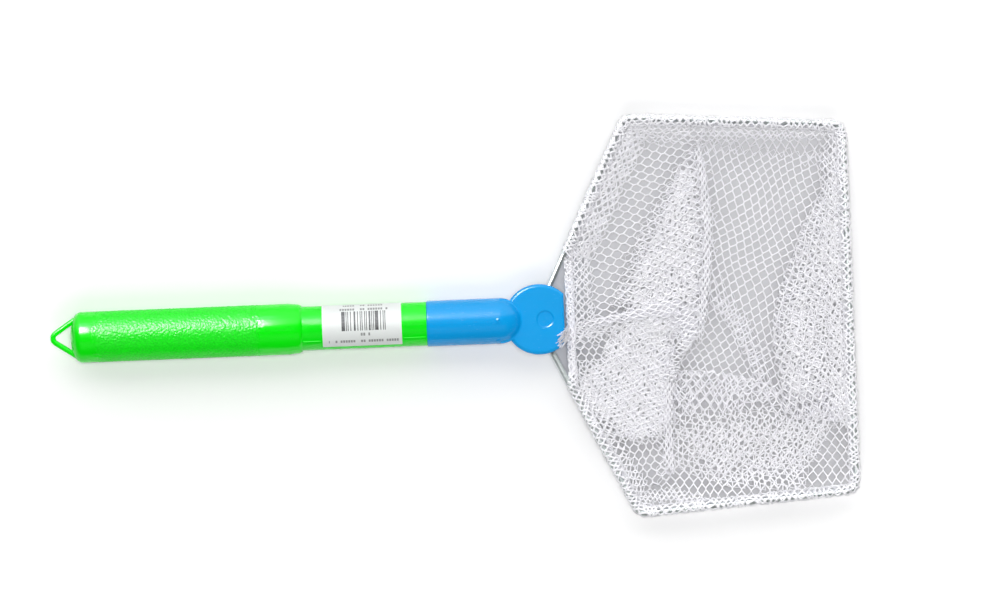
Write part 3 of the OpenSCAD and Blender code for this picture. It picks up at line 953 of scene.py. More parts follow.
@dataclass(frozen=True)
class Fold:
    """An edge where the netting turns under itself.

    The curve runs with the upper layer on its left; beyond it the cloth rolls down and
    comes back underneath for the given width.
    """

    curve: Sequence[Point]
    back: float
    radius: float = 1.6
    ease: float = 6.0

    def place(self, points: np.ndarray) -> tuple[np.ndarray, np.ndarray]:
        """Signed distance beyond the fold, and the foot and outward direction on it.

        Args:
            points: Plan points before folding.

        Returns:
            Distance beyond the fold, and one row of foot and direction for each point.
        """
        line = curve_through(self.curve)
        a, b = line[:-1], line[1:]
        way = b - a
        length = np.maximum(np.linalg.norm(way, axis=1), 1e-9)
        share = np.clip(((points[:, None] - a) * way).sum(-1) / length**2, 0, 1)
        feet = a + share[..., None] * way
        off = points[:, None] - feet
        far = np.linalg.norm(off, axis=2)
        best = np.argmin(far, axis=1)
        rows = np.arange(len(points))
        foot, off, far = feet[rows, best], off[rows, best], far[rows, best]
        heading = way[best] / length[best][:, None]
        right = np.stack([heading[:, 1], -heading[:, 0]], axis=1)
        sign = np.where((off * right).sum(1) >= 0, 1.0, -1.0)
        away = off * sign[:, None] / np.maximum(far, 1e-6)[:, None]
        return sign * far, np.hstack([foot, np.where(far[:, None] > 1e-6, away, right)])

    def lay(self, points: np.ndarray) -> tuple[np.ndarray, np.ndarray, np.ndarray]:
        """Folds plan points.

        Args:
            points: Plan points before folding.

        Returns:
            Points after folding, how far each has dropped, and its distance beyond the fold.
        """
        beyond, rest = self.place(points)
        turn = np.clip(beyond / self.radius, -math.pi / 2, math.pi / 2)
        flat = np.abs(beyond - self.radius * turn)
        spare = (math.pi / 2 - 1) * self.radius * (1 - np.exp(-flat / self.ease)) * (beyond < 0)
        across = self.radius * (np.cos(turn) - 1) - flat - spare
        return rest[:, :2] + rest[:, 2:] * across[:, None], self.radius * (1 + np.sin(turn)), beyond


class Hold(Enum):
    """How a piece of netting is held."""

    HUNG = "hung"
    GATHERED = "gathered"
    FOLDED = "folded"
    LAID = "laid"


@dataclass(frozen=True)
class Cut:
    """Flat size of a piece of netting, in metres: length, width and its threads' area."""

    length: float
    width: float
    area: float

    def declare(self, item: bpy.types.Object, hold: Hold, rests: Sequence[str],
                pieces: Sequence[bpy.types.Object] = ()) -> None:
        """Takes a piece, how it is held and what holds it, and does nothing with them."""


@dataclass(frozen=True)
class Panel:
    """One lay of the collapsed bag: a piece of the netting between two folds.

    Attributes:
        name: Name of the piece.
        outline: Its edge in plan, before folding.
        weave: Its mesh.
        level: Height of the lay over the ground, away from the rim.
        fold: Where it turns under, if it does.
        within: What limits the part that has turned under.
        slope: Width over which it climbs to the rim.
        rim: Height at the rim.
        seed: Sets its ripples apart from the other panels'.
        sway: How far its rows wander, in millimetres.
        crumple: How far its cells are pushed together and apart.
        thread: Diameter of its thread.
        hold: How it is held.
        rests: What it hangs from or lies on.
    """

    name: str
    outline: Sequence[Point]
    weave: Weave
    level: float
    fold: Fold | None = None
    within: Sequence[Point] | None = None
    slope: float = 12.0
    rim: float = 13.9
    seed: float = 0.0
    sway: float = 1.6
    crumple: float = 0.0
    thread: float = 0.82
    hold: Hold = Hold.LAID
    rests: tuple[str, ...] = ("net_edge_left",)

    def wander(self, points: np.ndarray) -> np.ndarray:
        """Plan points after the rows of the mesh have wandered."""
        slow, quick = (np.stack([ripple(points, self.seed + shift, length)
                                 for shift, length in waves], 1)
                       for waves in (SWAY_WAVES, CRUMPLE_WAVES))
        return points + self.sway * slow + self.crumple * quick

    def cells(self) -> tuple[np.ndarray, np.ndarray, np.ndarray]:
        """Spreads the mesh, turns it under at its fold and cuts it to its outline.

        Returns:
            The joints in plan, how far each has dropped, and each cell's six joints by number.
        """
        outline = np.array(self.outline, float)
        margin = SPREAD + (self.fold.back if self.fold else 0)
        centres, joints, cells = self.weave.cells(outline.min(0) - margin, outline.max(0) + margin)
        centres, joints = self.wander(centres), self.wander(joints)
        keep = inside(centres, outline)
        drop = np.zeros(len(joints))
        if self.fold:
            laid, _, beyond = self.fold.lay(centres)
            limit = np.array(self.within or self.outline, float)
            keep = np.where(beyond <= 0, keep, (beyond < self.fold.back) & inside(laid, limit))
            joints, drop, _ = self.fold.lay(joints)
            centres = laid
        keep &= HOOP.gap(centres) > RIM_GAP
        ring = joints[cells]
        sides = np.linalg.norm(ring - np.roll(ring, 1, axis=1), axis=2)
        keep &= sides.max(axis=1) < STRETCH * max(self.weave.pitch, self.weave.row)
        used, cells = np.unique(cells[keep], return_inverse=True)
        return joints[used], drop[used], cells.reshape(-1, 6)

    def build(self) -> tuple[bpy.types.Object, Cut]:
        """Lays the panel.

        Returns:
            The panel's netting and the size it was cut to.
        """
        joints, drop, cells = self.cells()
        way = smooth((HOOP.gap(joints) - RIM_FLAT) / self.slope)
        heave, heave_seed, heave_length = HEAVE
        ruffle, shift, ruffle_length = RUFFLE
        level = (self.level + heave * ripple(joints, heave_seed, heave_length)
                 + ruffle * self.crumple * ripple(joints, self.seed + shift, ruffle_length))
        height = np.maximum(self.rim + (level - self.rim) * way - drop, self.thread / 2 + CLEARANCE)
        item = strand_mesh(self.name, np.column_stack([joints, height]), cells, self.thread)
        area = len(cells) * self.weave.pitch * self.weave.row
        length = float(np.ptp(joints, axis=0).max())
        cover = area * self.weave.cover(self.thread)
        return item, Cut(length * MM, max(area / length, LEAST_WIDTH) * MM, cover * MM**2)


@dataclass(frozen=True)
class Gather(Panel):
    """A strip of the netting gathered beside the hem."""

    rim: float = 14.1
    crumple: float = 0.5
    hold: Hold = Hold.GATHERED


def strand_mesh(name: str, joints: np.ndarray, cells: np.ndarray, thick: float) -> bpy.types.Object:
    """Turns a sheet of open cells into round threads.

    Every thread has eight sides: a ridge above and below, and beside them the edges of
    its two holes, each with a bevel above and below.

    Args:
        name: Name of the new object.
        joints: Places of the joints, in millimetres.
        cells: Each cell's six joints by number.
        thick: The thread's diameter, in millimetres.

    Returns:
        The netting as an object at the origin.
    """
    reach = thick / 2
    ring = joints[cells]
    after = np.roll(ring, -1, axis=1)
    middle = ring.mean(axis=1)
    facing = unit(np.cross(ring - middle[:, None], after - middle[:, None]).sum(axis=1))
    upward = np.zeros_like(joints)
    np.add.at(upward, cells, facing[:, None])
    upward = unit(upward)
    side = unit(after - ring)
    to_middle = middle[:, None] - ring
    height = np.linalg.norm(to_middle - (to_middle * side).sum(-1, keepdims=True) * side, axis=2)
    nearest = np.minimum(height, np.roll(height, 1, axis=1))
    inward = to_middle * np.minimum(reach / np.maximum(nearest, 1e-6), MITRE)[..., None]
    lift = upward[cells] * reach
    edges = [ring + inward * math.cos(turn) + lift * math.sin(turn)
             for turn in (math.pi / 4, 0.0, -math.pi / 4)]

    count, total = len(joints), 6 * len(cells)
    points = np.vstack([joints + upward * reach, joints - upward * reach,
                        *[edge.reshape(-1, 3) for edge in edges]])
    rims = [2 * count + k * total + np.arange(total).reshape(-1, 6) for k in range(len(edges))]
    strips = [cells, *rims, cells + count]
    faces = [np.stack([near, np.roll(near, -1, axis=1), np.roll(far, -1, axis=1), far], axis=-1)
             for near, far in zip(strips, strips[1:])]
    pairs = np.stack([cells, np.roll(cells, -1, axis=1)], axis=-1).reshape(-1, 2).tolist()
    there = set(map(tuple, pairs))
    border = np.array([p for p in pairs if (p[1], p[0]) not in there]).reshape(-1, 2)
    faces.append(np.stack([border[:, 1], border[:, 0], border[:, 0] + count,
                           border[:, 1] + count], axis=-1))
    mesh = bpy.data.meshes.new(name)
    mesh.from_pydata((points * MM).tolist(), [],
                     np.vstack([face.reshape(-1, 4) for face in faces]).tolist())
    item = stand(name, mesh)
    bpy.ops.object.shade_smooth()
    return item


def strip(line: Sequence[Point], near: float, far: float) -> list[Point]:
    """Outline of a strip that follows a line.

    Args:
        line: The line's points.
        near: Distance of one edge to the right of the line.
        far: Distance of the other edge.

    Returns:
        The strip's corners.
    """
    spots = np.array(line, float)
    way = unit(np.gradient(spots, axis=0))
    side = np.stack([way[:, 1], -way[:, 0]], axis=1)
    return [tuple(spot) for spot in np.vstack([spots + side * near, (spots + side * far)[::-1]])]


LEFT_FOLD = [(141.5, -16), (145.5, 0), (147.5, 13), (149.3, 30), (150.2, 47), (149.5, 64),
             (148.2, 84), (145.5, 96)]
LOBE_FOLD = [(123.1, -88.9), (123.3, -77.5), (123.5, -60.4), (125, -41.9), (126.7, -26.3)]

# The lays of the bag, lowest first
PANELS = (
    Panel("bag_floor_middle",
          [(118, 24), (152, 22), (178, -20), (186, -50), (112, -50)],
          Weave(5.0, 3.9, 1.2, -16), 5.4, seed=1),
    Panel("bag_lower_floor",
          [(126, -66), (186, -62), (230, -48), (230, -66), (212, -68), (198, -92), (150, -94)],
          Weave(2.9, 4.1, 0.9, -35), 6.8, seed=11, crumple=0.9, thread=0.75),
    Panel("bag_lower_inner",
          [(118, -56), (190, -56), (232, -46), (232, -64), (214, -66), (202, -88), (194, -103),
           (150, -98), (120, -84)],
          Weave(3.7, 2.9, 0.8, 38), 7.1, seed=12, crumple=0.9, thread=0.72),
    Panel("bag_right_panel",
          [(146, 97), (176, 93), (198, 89), (226, 88), (222, 40), (206, 0), (204, -52),
           (172, -52), (166, -28), (158, -12), (148, 8), (118, 20), (96, 24), (112, 50),
           (132, 84)],
          Weave(5.1, 3.95, 1.1, -21.4), 7.2, seed=2, hold=Hold.HUNG,
          fold=Fold([(112, 20), (120, 14), (142, 9), (151, 1), (158.5, -10.5), (164, -21),
                     (168, -31), (172, -41), (176, -58)], 8, 1.0),
          within=[(148, 20), (190, 20), (186, -52), (160, -52)]),
    Panel("bag_top_wall",
          [(140, 110), (228, 104), (228, 83), (210, 83), (197, 86), (175, 90), (150, 93)],
          Weave(5.25, 4.8, 1.1, -3), 7.8, seed=5, slope=9, hold=Hold.HUNG),
    Panel("bag_right_floor",
          [(222, 70), (231, 78), (231, -56), (192, -50), (190, -14), (200, 15), (212, 42)],
          Weave(2.8, 4.0, 0.9, -34), 8.8, seed=21, crumple=0.9, thread=0.75),
    Panel("bag_right_inner",
          [(220, 84), (231, 90), (231, -50), (188, -46), (186, -10), (196, 25), (208, 52)],
          Weave(3.7, 2.9, 0.8, 62), 9.1, seed=6, crumple=0.9, thread=0.72),
    Panel("bag_right_lobe",
          [(214, 102), (232, 102), (232, -60), (184, -60), (178, -20), (186, 20), (203, 54)],
          Weave(4.9, 3.9, 1.2, 16), 9.4, seed=7, crumple=0.6,
          fold=Fold([(229, 96), (225.7, 87.4), (221.1, 79.7), (213.4, 67.2), (204.3, 51.9),
                     (195.7, 32.3), (188.5, 14), (183.2, -4.3), (181.8, -18.5), (183.8, -32.9),
                     (185.6, -41.5), (187, -56)], 26, 0.5)),
    Panel("bag_left_floor",
          [(92, -13), (122, -6), (122, -60), (104, -68), (90, -62), (78, -46), (74, -30),
           (84, -26)],
          Weave(2.8, 4.2, 0.9, -52), 7.8, seed=13, crumple=0.9, thread=0.92),
    Panel("bag_left_inner",
          [(92, -8), (126, 0), (124, -66), (104, -72), (88, -66), (74, -44), (71, -26),
           (86, -24)],
          Weave(3.6, 2.9, 0.8, 30), 8.1, seed=8, crumple=0.9, thread=0.8),
    Panel("bag_middle_floor",
          [(132, 80), (141, 77), (143, 30), (139, 0), (134, -12), (102, -8), (106, 22),
           (118, 44), (128, 62)],
          Weave(2.9, 4.3, 0.9, -42), 8.0, seed=23, crumple=0.9, thread=0.92),
    Panel("bag_middle_inner",
          [(134, 84), (142, 80), (144, 30), (140, 0), (136, -14), (100, -8), (104, 22),
           (117, 44), (128, 64)],
          Weave(3.7, 2.8, 0.8, 27), 8.2, seed=22, crumple=0.9, thread=0.75),
    Panel("bag_left_panel",
          [(66, 24), (66, -16), (96, -12), (150, -12), (160, 40), (152, 96), (150, 112),
           (104, 112)],
          Weave(4.85, 4.6, 2.0, -80), 8.6, seed=3, sway=1.2, hold=Hold.HUNG,
          fold=Fold([*LEFT_FOLD, (138, 108)], 58, 0.5),
          within=[(139, 92), (129.6, 74.8), (119, 58), (109.8, 42.8), (102, 27), (97, 17),
                  (92, 5), (90, -8), (146, -12), (152, 40), (150, 94)]),
    Panel("bag_lower_lobe",
          [(114, -24), (234, -28), (234, -106), (222, -110), (110, -117), (113, -105),
           (116, -92)],
          Weave(5.2, 4.0, 1.0, -3), 7.4, seed=9, crumple=0.3,
          fold=Fold([(234, -35), (225.6, -38.8), (217.6, -42.8), (203.3, -45.1), (189.1, -44.5),
                     (177.8, -41.2), (167.9, -37.2), (158.1, -34.4), (146.7, -32.8),
                     (136.8, -31.3), (127.5, -31.4), (114, -33)], 30, 0.5),
          within=[(118, -30), (232, -36), (232, -66), (196, -62), (182, -56), (118, -56)]),
    Panel("bag_left_lobe",
          [(62, -8), (134, 4), (132, -60), (128, -104), (100, -113), (58, -24)],
          Weave(4.7, 3.6, 1.6, 3), 8.4, seed=10, crumple=0.6,
          fold=Fold([(94, -110), (108.4, -99.8), (118.6, -95.9), *LOBE_FOLD, (128.3, -12.1),
                     (131, 2)], 40, 0.5),
          within=[(88, -6), (131, 2), (126, -70), (112, -71), (92, -68), (80, -40)]),
    Panel("bag_left_cover",
          [(90, -14), (104, -7), (124, -2), (122, -62), (108, -72), (94, -70), (76, -48),
           (72, -30), (84, -24)],
          Weave(3.8, 2.8, 0.8, 74), 8.7, seed=24, crumple=0.9, thread=0.8),
    Panel("bag_left_crease", strip(LEFT_FOLD, -4.6, 0.5), Weave(4.8, 1.25, 0.6, 88), 9.1,
          seed=31, sway=0.6, crumple=0.3, thread=0.75),
    Panel("bag_lobe_crease", strip(LOBE_FOLD, -4.7, 0.4), Weave(4.8, 1.25, 0.6, 89), 9.2,
          seed=32, sway=0.6, crumple=0.3, thread=0.75),
    Panel("bag_ridge",
          [(62, 8), (90, 10), (118, 14), (136, 14), (150, 2), (149, -14), (142, -28), (134, -40),
           (120, -38), (123, -28), (127, -20), (131, -13), (130, -7), (125, -2), (117, 0),
           (104, -2.5), (84, -5.5), (62, -11)],
          Weave(5.6, 1.7, 0.6, 8), 9.8, seed=14, crumple=0.8,
          fold=Fold([(128, -36), (132, -25), (137.6, -18), (141.9, -9.8), (140.1, -2.6),
                     (135.4, 4.7), (127, 7.9), (116.9, 6.1), (105.4, 3), (93.9, 0.9),
                     (83.8, -0.7), (73.8, -2.1), (62, -6)], 10, 0.6),
          within=[(60, 6), (60, -12), (90, -12), (120, -16), (140, -26), (146, -6), (136, 12)]),
    Gather("bag_top_gather",
           strip([(103, 112.8), (152, 109.4)], 2, 14), Weave(5.0, 2.2, 0.8, -2), 9.6, seed=27,
           crumple=0.8),
    Gather("bag_top_gather_front",
           strip([(150, 109.6), (222, 105.6)], 2, 10.5), Weave(4.6, 2.4, 0.8, -6), 10.4, seed=28,
           crumple=0.7, rests=("net_edge_front",)),
    Gather("bag_slant_gather",
           strip([(67, 38), (103, 112)], 2, 16), Weave(5.4, 2.0, 0.7, 66), 9.2, seed=15,
           thread=0.95),
    Gather("bag_slant_gather_low",
           strip([(67, 38), (103, 112)], 2, 14), Weave(4.4, 2.6, 0.9, 48), 8.8, seed=16,
           rim=13.5, thread=0.9),
    Gather("bag_rear_gather",
           strip([(66.6, -2), (66.6, 38)], 2, 15), Weave(4.8, 2.1, 0.7, 86), 9.4, seed=25,
           crumple=0.6),
    Gather("bag_front_gather",
           strip([(227.1, 100), (227.1, -66)], 2, 13), Weave(5.0, 2.3, 0.9, 88), 9.8, seed=17,
           rests=("net_edge_front",)),
    Gather("bag_slant_gather_rear",
           strip([(103, -112.8), (67, -38)], 2, 11), Weave(4.8, 2.9, 0.9, -62), 9.4, seed=19,
           rests=("net_edge_right",)),
    Gather("bag_arch",
           [(90, -97), (108, -100), (124, -99), (140, -105), (152, -110), (142, -112.5),
            (132, -109), (124, -106), (110, -106), (98, -109)],
           Weave(2.9, 2.1, 0.7, -4), 11.5, seed=20, rim=13.9, crumple=0.0,
           rests=("net_edge_right",)),
)


def thread_tubes(name: str, runs: Sequence[np.ndarray], radius: float,
                 closed: bool) -> bpy.types.Object:
    """Draws smooth lengths of thread.

    Args:
        name: Name of the new object.
        runs: The points of each length, in millimetres.
        radius: The thread's radius.
        closed: Whether each length meets its own start.

    Returns:
        The thread as a mesh.
    """
    curve = bpy.data.curves.new(name, "CURVE")
    curve.dimensions = "3D"
    curve.bevel_depth = radius * MM
    curve.bevel_resolution = 1
    curve.resolution_u = 2
    for run in runs:
        spline = curve.splines.new("NURBS")
        spline.points.add(len(run) - 1)
        for point, spot in zip(spline.points, run):
            point.co = (*(spot * MM), 1.0)
        spline.use_cyclic_u = closed
        spline.use_endpoint_u = not closed
        spline.order_u = 3
    stand(name, curve)
    bpy.ops.object.convert(target="MESH")
    return bpy.context.object


@dataclass(frozen=True)
class Wave:
    """A wave round the hoop.

    Attributes:
        reach: Its height.
        count: Waves in one turn.
        start: Its phase, in radians.
        shift: What each row of the mesh adds to the phase.
    """

    reach: float
    count: int
    start: float = 0.0
    shift: float = 0.0


@dataclass(frozen=True)
class Hem:
    """The netting's edge, folded over the wire and sewn down along its inner edge.

    Places across the fold run from the upper ply's edge round to the lower one's. The
    swell and the heave are waves of the plies: their height, seed and length.
    """

    width: float = 4.5
    ply: float = 0.25
    wrap: float = 2.05
    lips: Point = (55.0, 305.0)
    edge_bend: float = 0.7
    wire_bend: float = 6.0
    strip_bend: float = 2.5
    flat_side: Spot = (32.0, 80.0, 5.0)
    samples: int = 60
    columns: int = 232
    rows: int = 6
    link: float = 0.6
    link_lean: float = 0.075
    thread: float = 1.1
    along_waves: tuple[Wave, ...] = (
        Wave(1.3, 31), Wave(0.9, 67, 0.0, 1.0), Wave(0.5, 113, 0.0, 2.6))
    across_waves: tuple[Wave, ...] = (
        Wave(0.08, 5, 1.0), Wave(0.06, 11, 2.0), Wave(0.05, 23), Wave(0.025, 53, 0.0, 2.0))
    loose: Point = (2.0, 3.0)
    swell: Spot = (0.14, 5.0, 21.0)
    heave: Spot = (0.25, 3.0, 14.0)
    parts: tuple[tuple[str, float], ...] = (
        ("net_edge_left", 0.37), ("net_edge_front", 0.63), ("net_edge_right", 1.0))
    stitch_gap: Point = (3.3, 4.4)
    stitch_step: float = 1.7
    stitch_r: float = 0.22
    fray_side: Point = (-5.0, -12.5)
    fray_way: Point = (-0.76, -0.65)
    fray_count: int = 46
    fray_root: Point = (-0.4, 1.0)
    fray_reach: Point = (2.0, 9.5)
    fray_stray: float = 1.5
    fray_rise: float = 0.5
    fray_lift: float = 6.2
    fray_land: Point = (5.4, 5.9)
    fray_r: float = 0.19

    def path(self) -> tuple[np.ndarray, np.ndarray]:
        """The wire's closed line in plan.

        Returns:
            Points about a millimetre apart, and the inward direction at each.
        """
        sides = HOOP.sides()
        points, inward = [], []
        for k, (normal, reach) in enumerate(sides):
            after, after_reach = sides[(k + 1) % len(sides)]
            bend = self.strip_bend if k in (0, len(sides) - 1) else self.wire_bend
            centre = np.linalg.solve(np.array([normal, after]), [reach - bend, after_reach - bend])
            first = math.atan2(normal[1], normal[0])
            turn = (math.atan2(after[1], after[0]) - first + math.pi) % math.tau - math.pi
            for spot in arc((0.0, 0.0), 1.0, first, first + turn, 8):
                points.append(centre + bend * np.array(spot))
                inward.append(-np.array(spot))
        rows = np.hstack([np.array(points), np.array(inward)])
        rows = np.vstack([rows, rows[:1]])
        run = np.concatenate(
            [[0], np.cumsum(np.linalg.norm(np.diff(rows[:, :2], axis=0), axis=1))])
        even = np.linspace(0, run[-1], int(run[-1]) + 1)
        line, facing = np.split(np.stack([np.interp(even, run, row) for row in rows.T], 1), 2, 1)
        return line, unit(facing)

    def on_wire(self, along: np.ndarray) -> tuple[np.ndarray, np.ndarray]:
        """Points at these steps along the wire's line, and the inward direction at each."""
        line, facing = (np.stack([np.interp(along, np.arange(len(rows)), row)
                                  for row in rows.T], 1) for rows in self.path())
        return line, facing

    def section(self, round_r: float) -> np.ndarray:
        """Section of the fold.

        Args:
            round_r: Radius of its bend.

        Returns:
            Distance inwards and height over the wire's axis, at even steps across the fold.
        """
        bend = np.radians(np.linspace(*self.lips, 15))
        d = np.concatenate([[self.width], round_r * np.cos(bend), [self.width]])
        z = np.concatenate([[self.ply], round_r * np.sin(bend), [-self.ply]])
        run = np.concatenate([[0], np.cumsum(np.hypot(np.diff(d), np.diff(z)))])
        even = np.linspace(0, run[-1], self.samples)
        return np.array([np.interp(even, run, d), np.interp(even, run, z)])

    def cells(self) -> tuple[np.ndarray, np.ndarray]:
        """Lays the mesh round the hoop, its last column joined to its first.

        Returns:
            Each joint's column, row and end of its link, and each cell's joints by number.
        """
        joints, hexes = {}, []
        around = 2 * self.columns
        for row in range(self.rows + 1):
            for column in range(row % 2, around, 2):
                hexes.append([joints.setdefault((m % around, j, end), len(joints))
                              for m, j, end in hex_corners(column, row)])
        return np.array(list(joints), float), np.array(hexes)

    def fold(self, keys: np.ndarray, run: float) -> np.ndarray:
        """Folds the mesh over the wire.

        Args:
            keys: Each joint's column, row and end of its link.
            run: The line's length, in steps.

        Returns:
            The joints' places.
        """
        column, row, end = keys.T
        share = column / (2 * self.columns)
        move, drift = (sum(wave.reach * np.sin(share * math.tau * wave.count + wave.start
                                               + row * wave.shift) for wave in waves)
                       for waves in (self.along_waves, self.across_waves))
        across = (row + 0.5 + end * self.link_lean) / (self.rows + 1)
        across = np.clip(across + 4 * across * (1 - across) * drift, 0, 1) * (self.samples - 1)
        place, facing = self.on_wire((share * run + move) % run)
        half, rear, fade = self.flat_side
        wired = smooth(np.maximum(np.abs(place[:, 1]) - half, place[:, 0] - rear) / fade)
        d, z = ((np.interp(across, np.arange(self.samples), flat) * (1 - wired)
                 + np.interp(across, np.arange(self.samples), bent) * wired)
                for flat, bent in zip(self.section(self.edge_bend), self.section(self.wrap)))
        start, width = self.loose
        swell, seed, length = self.swell
        d = d * (1 + swell * ripple(place, seed, length) * smooth((d - start) / width))
        z = z + self.raised(place) * smooth((d - start) / width)
        return np.column_stack([place + facing * d[:, None], HOOP.height + z])

    def raised(self, place: np.ndarray) -> np.ndarray:
        """How far the plies heave up beside places on the wire's line."""
        heave, seed, length = self.heave
        return heave * ripple(place, seed, length)

    def build(self) -> list[tuple[bpy.types.Object, Cut]]:
        """Folds the netting's edge round the hoop.

        Returns:
            The hem's parts, each with the size it was cut to.
        """
        run = len(self.path()[0]) - 1
        keys, cells = self.cells()
        spots = self.fold(keys, run)
        middle = keys[cells[:, 0], 0] / (2 * self.columns)
        folded = 2 * (self.width + self.wrap)
        weave = Weave(run / self.columns, folded / (self.rows + 1), self.link)
        made, start = [], 0.0
        for name, end in self.parts:
            used, part = np.unique(cells[(middle >= start) & (middle < end)], return_inverse=True)
            item = strand_mesh(name, spots[used], part.reshape(-1, 6), self.thread)
            length, width = (end - start) * run * MM, folded * MM
            made.append((item, Cut(length, width, length * width * weave.cover(self.thread))))
            start = end
        return made

    def stitching(self) -> bpy.types.Object:
        """Sews a zigzag along the hem's inner edge, through both plies.

        Returns:
            The sewing thread.
        """
        run = len(self.path()[0]) - 1
        count = 2 * round(run / self.stitch_step / 2)
        place, facing = self.on_wire(np.arange(count) * run / count)
        gap = np.where(np.arange(count) % 2, *self.stitch_gap)
        height = HOOP.height + self.ply + self.thread / 2 + self.raised(place)
        spots = np.column_stack([place + facing * gap[:, None], height])
        return thread_tubes("edge_stitching", [spots], self.stitch_r, True)

    def frayed_ends(self) -> bpy.types.Object:
        """Lets cut ends of thread stray from the hem over the disc's edge.

        Returns:
            The loose ends.
        """
        rng = np.random.default_rng(5)
        way = np.array([*self.fray_way, 0.0])
        across = np.array([way[1], -way[0], 0.0])
        lift = np.array([0.0, 0.0, self.fray_lift])
        runs = []
        for side in np.linspace(*self.fray_side, self.fray_count):
            reach = rng.uniform(*self.fray_reach)
            stray = across * rng.uniform(-self.fray_stray, self.fray_stray)
            root = np.array([HOOP.rear + rng.uniform(*self.fray_root), side,
                             HOOP.height + self.fray_rise])
            end = root + way * reach + stray
            runs.append(np.array([
                root, root + 0.2 * (end - root) + lift,
                root + 0.6 * (end - root) + lift - 0.4 * stray,
                end + (0, 0, rng.uniform(*self.fray_land))]))
        return thread_tubes("frayed_ends", runs, self.fray_r, False)


class Netting:
    """The bag: its lays, and the hem folded round the wire."""

    def __init__(self, finish: Finish) -> None:
        """Keeps the thread's material."""
        self.material = finish.material()

    def build(self) -> None:
        """Folds and sews the hem, then lays every panel."""
        hem = Hem()
        extras = [hem.stitching(), hem.frayed_ends()]
        for item in extras:
            settle(item, self.material, "netting", "net_hem")
        for item, cut in hem.build():
            settle(item, self.material, "netting", "net_hem")
            cut.declare(item, Hold.FOLDED, ["bent_wire"],
                        extras if item.name == hem.parts[0][0] else [])
        for panel in PANELS:
            item, cut = panel.build()
            settle(item, self.material, "netting", "net_bag")
            cut.declare(item, panel.hold, panel.rests)


# ---- studio ---------------------------------------------------------------------------


@dataclass(frozen=True)
class Softbox:
    """A soft rectangular lamp.

    Attributes:
        name: Name of the lamp.
        place: Where it hangs, in metres.
        size: Its length along X and its width.
        tilt: Turn back towards the object, in degrees.
        power: Its power in watts.
        mirrored: Whether glossy surfaces show it.
        lighting: Whether it lights matt surfaces.
        colour: Its colour.
    """

    name: str
    place: Spot
    size: Point
    tilt: float
    power: float
    mirrored: bool = True
    lighting: bool = True
    colour: Colour = (1.0, 1.0, 1.0)

    def hang(self) -> None:
        """Adds the lamp."""
        light = bpy.data.lights.new(self.name, "AREA")
        light.shape = "RECTANGLE"
        light.size, light.size_y = self.size
        light.energy, light.color = self.power, self.colour
        item = stand(self.name, light)
        item.location = self.place
        item.rotation_euler = (-math.radians(self.tilt), 0, 0)
        item.visible_glossy = self.mirrored
        item.visible_diffuse = self.lighting


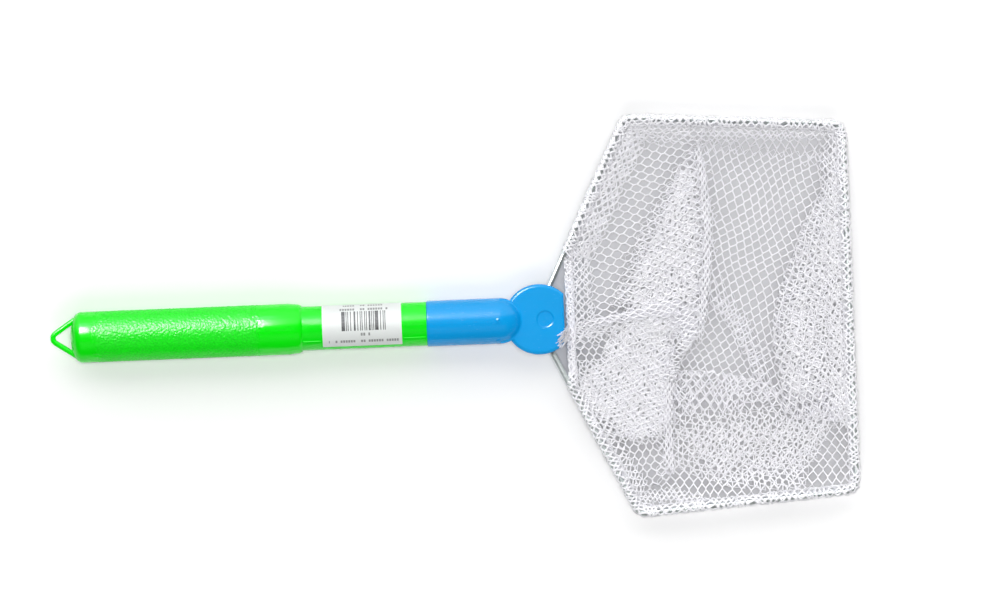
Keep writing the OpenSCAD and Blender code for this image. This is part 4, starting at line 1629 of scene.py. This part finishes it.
@dataclass(frozen=True)
class Studio:
    """White floor with a pale card, a half-bright room, four softboxes and the camera."""

    view_width: float = 566.0
    view_middle: Point = (26.7, 12.2)
    turn: float = -2.27
    distance: float = 4.0
    floor_size: float = 3.0
    floor_bounce: float = 0.5
    card: Colour = srgb(209, 209, 212)
    card_lift: float = 0.2
    card_round: float = 2.0
    bright: float = 1.6
    dim: float = 0.1
    edge: Point = (0.3, 0.5)

    def boxes(self) -> tuple[Softbox, ...]:
        """Two softboxes that only glossy skins show, and two that light and don't show."""
        return (
            Softbox("end_softbox", (-0.75, 1.2, 1.85), (0.9, 1.0), 33.0, 140.0, lighting=False),
            Softbox("side_softbox", (-1.15, 2.6, 2.3), (1.9, 2.2), 48.0, 64.0, lighting=False,
                    colour=(0.62, 0.74, 1.0)),
            Softbox("fill_softbox", (0.3, -2.4, 3.2), (4.0, 2.4), -36.0, 62.0, mirrored=False),
            Softbox("top_softbox", (0.05, 0.05, 4.5), (1.0, 0.7), 0.0, 76.0, mirrored=False),
        )

    def paper(self, name: str, colour: Colour) -> bpy.types.Material:
        """Matt paper: its colour where it shows, and duller in the light that it throws back.

        Args:
            name: Name of the material.
            colour: The colour that shows.

        Returns:
            The finished material.
        """
        shader = Shader(name)
        shader.dress(Base_Color=colour, Roughness=0.9, Specular_IOR_Level=0.0)
        ray = shader.node("ShaderNodeLightPath")
        shown = sum(ray.other(kind) for kind in
                    ("Is Camera Ray", "Is Glossy Ray", "Is Transmission Ray"))
        dull = shader.node("ShaderNodeBsdfDiffuse", inputs={"Color": (self.floor_bounce,) * 3})
        both = shader.node("ShaderNodeMixShader",
                           inputs={0: shown, 1: dull, 2: Socket(shader, shader.surface.outputs[0])})
        shader.tree.links.new(both.link, shader.output.inputs["Surface"])
        return shader.material

    def floor(self) -> None:
        """Lays the white floor, and a pale grey card on it under the net."""
        bpy.ops.mesh.primitive_plane_add(size=self.floor_size, location=(0, 0, 0))
        plane = bpy.context.object
        plane.name = "floor"
        plane.data.materials.append(self.paper("floor_white", (1.0, 1.0, 1.0)))
        half = [HOOP.rear_corner, HOOP.front_corner]
        edge = [(HOOP.apex, 0.0), *half, *[(x, -y) for x, y in reversed(half)], (HOOP.apex, 0.0)]
        bench = Bench("card")
        bench.chain([Vector((x, y, self.card_lift)) * MM for x, y in edge])
        bpy.ops.mesh.remove_doubles(threshold=DOUBLES)
        bpy.ops.mesh.edge_face_add()
        bpy.ops.mesh.bevel(offset=self.card_round * MM, segments=4, affect="VERTICES")
        card = bench.close()
        card.data.materials.append(self.paper("card_grey", self.card))

    def camera(self) -> None:
        """Places the camera straight above, turned as the view is."""
        lens = bpy.data.cameras.new("camera")
        lens.sensor_width = 36.0
        lens.lens = 36.0 * self.distance / (self.view_width * MM)
        lens.clip_end = 20.0
        item = stand("camera", lens)
        item.location = (self.view_middle[0] * MM, self.view_middle[1] * MM, self.distance)
        item.rotation_euler = (0, 0, math.radians(self.turn))
        bpy.context.scene.camera = item

    def room(self) -> None:
        """Makes the room bright on its left, from just past overhead, and dim opposite."""
        world = bpy.data.worlds.new("room")
        world.use_nodes = True
        tree = NodeTree(world.node_tree)
        way = tree.node("ShaderNodeTexCoord", out="Generated")
        split = tree.node("ShaderNodeSeparateXYZ", inputs={"Vector": way}, out=1)
        level = split.step_up(*self.edge) * (self.bright - self.dim) + self.dim
        light = tree.node("ShaderNodeBackground", inputs={"Color": (1, 1, 1), "Strength": level})
        output = tree.tree.nodes.new("ShaderNodeOutputWorld")
        tree.tree.links.new(light.link, output.inputs["Surface"])
        bpy.context.scene.world = world

    def build(self) -> None:
        """Sets up the view, the room, the floor, the camera and the softboxes."""
        bpy.context.scene.view_settings.view_transform = "Standard"
        self.room()
        self.floor()
        self.camera()
        for box in self.boxes():
            box.hang()


# ---- the whole object -----------------------------------------------------------------


def main() -> None:
    """Builds every piece in order."""
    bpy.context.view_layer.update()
    Studio().build()
    Grip().build(StippledPlastic("green_grip", srgb(0, 238, 6), srgb(0, 231, 2), 0.17, 0.4))
    HOOP.build(ZincWire())
    blue = GatedPlastic("blue_coupling", srgb(4, 155, 226), srgb(2, 147, 218), 0.2, 0.32)
    for node, finish in (
        ("handle_tube",
         MouldedPlastic("green_tube", srgb(0, 234, 16), srgb(0, 226, 8), 0.18, 0.4)),
        ("coupling_body", blue),
        ("coupling_cover", blue),
        ("label", PrintedPaper()),
        ("cover_screws", ZincWire("screw_steel")),
        ("float_core", MouldedPlastic("white_foam", srgb(238, 238, 232), srgb(225, 225, 218),
                                      0.8, 0.1, 0.0003)),
        ("tube_plug", MouldedPlastic("dark_plug", srgb(48, 50, 54), srgb(38, 40, 44), 0.4)),
    ):
        dress_node(node, finish)
    Netting(NetThread()).build()


if __name__ == "__main__":
    logging.basicConfig(level=logging.INFO, format="%(name)s: %(message)s")
    main()
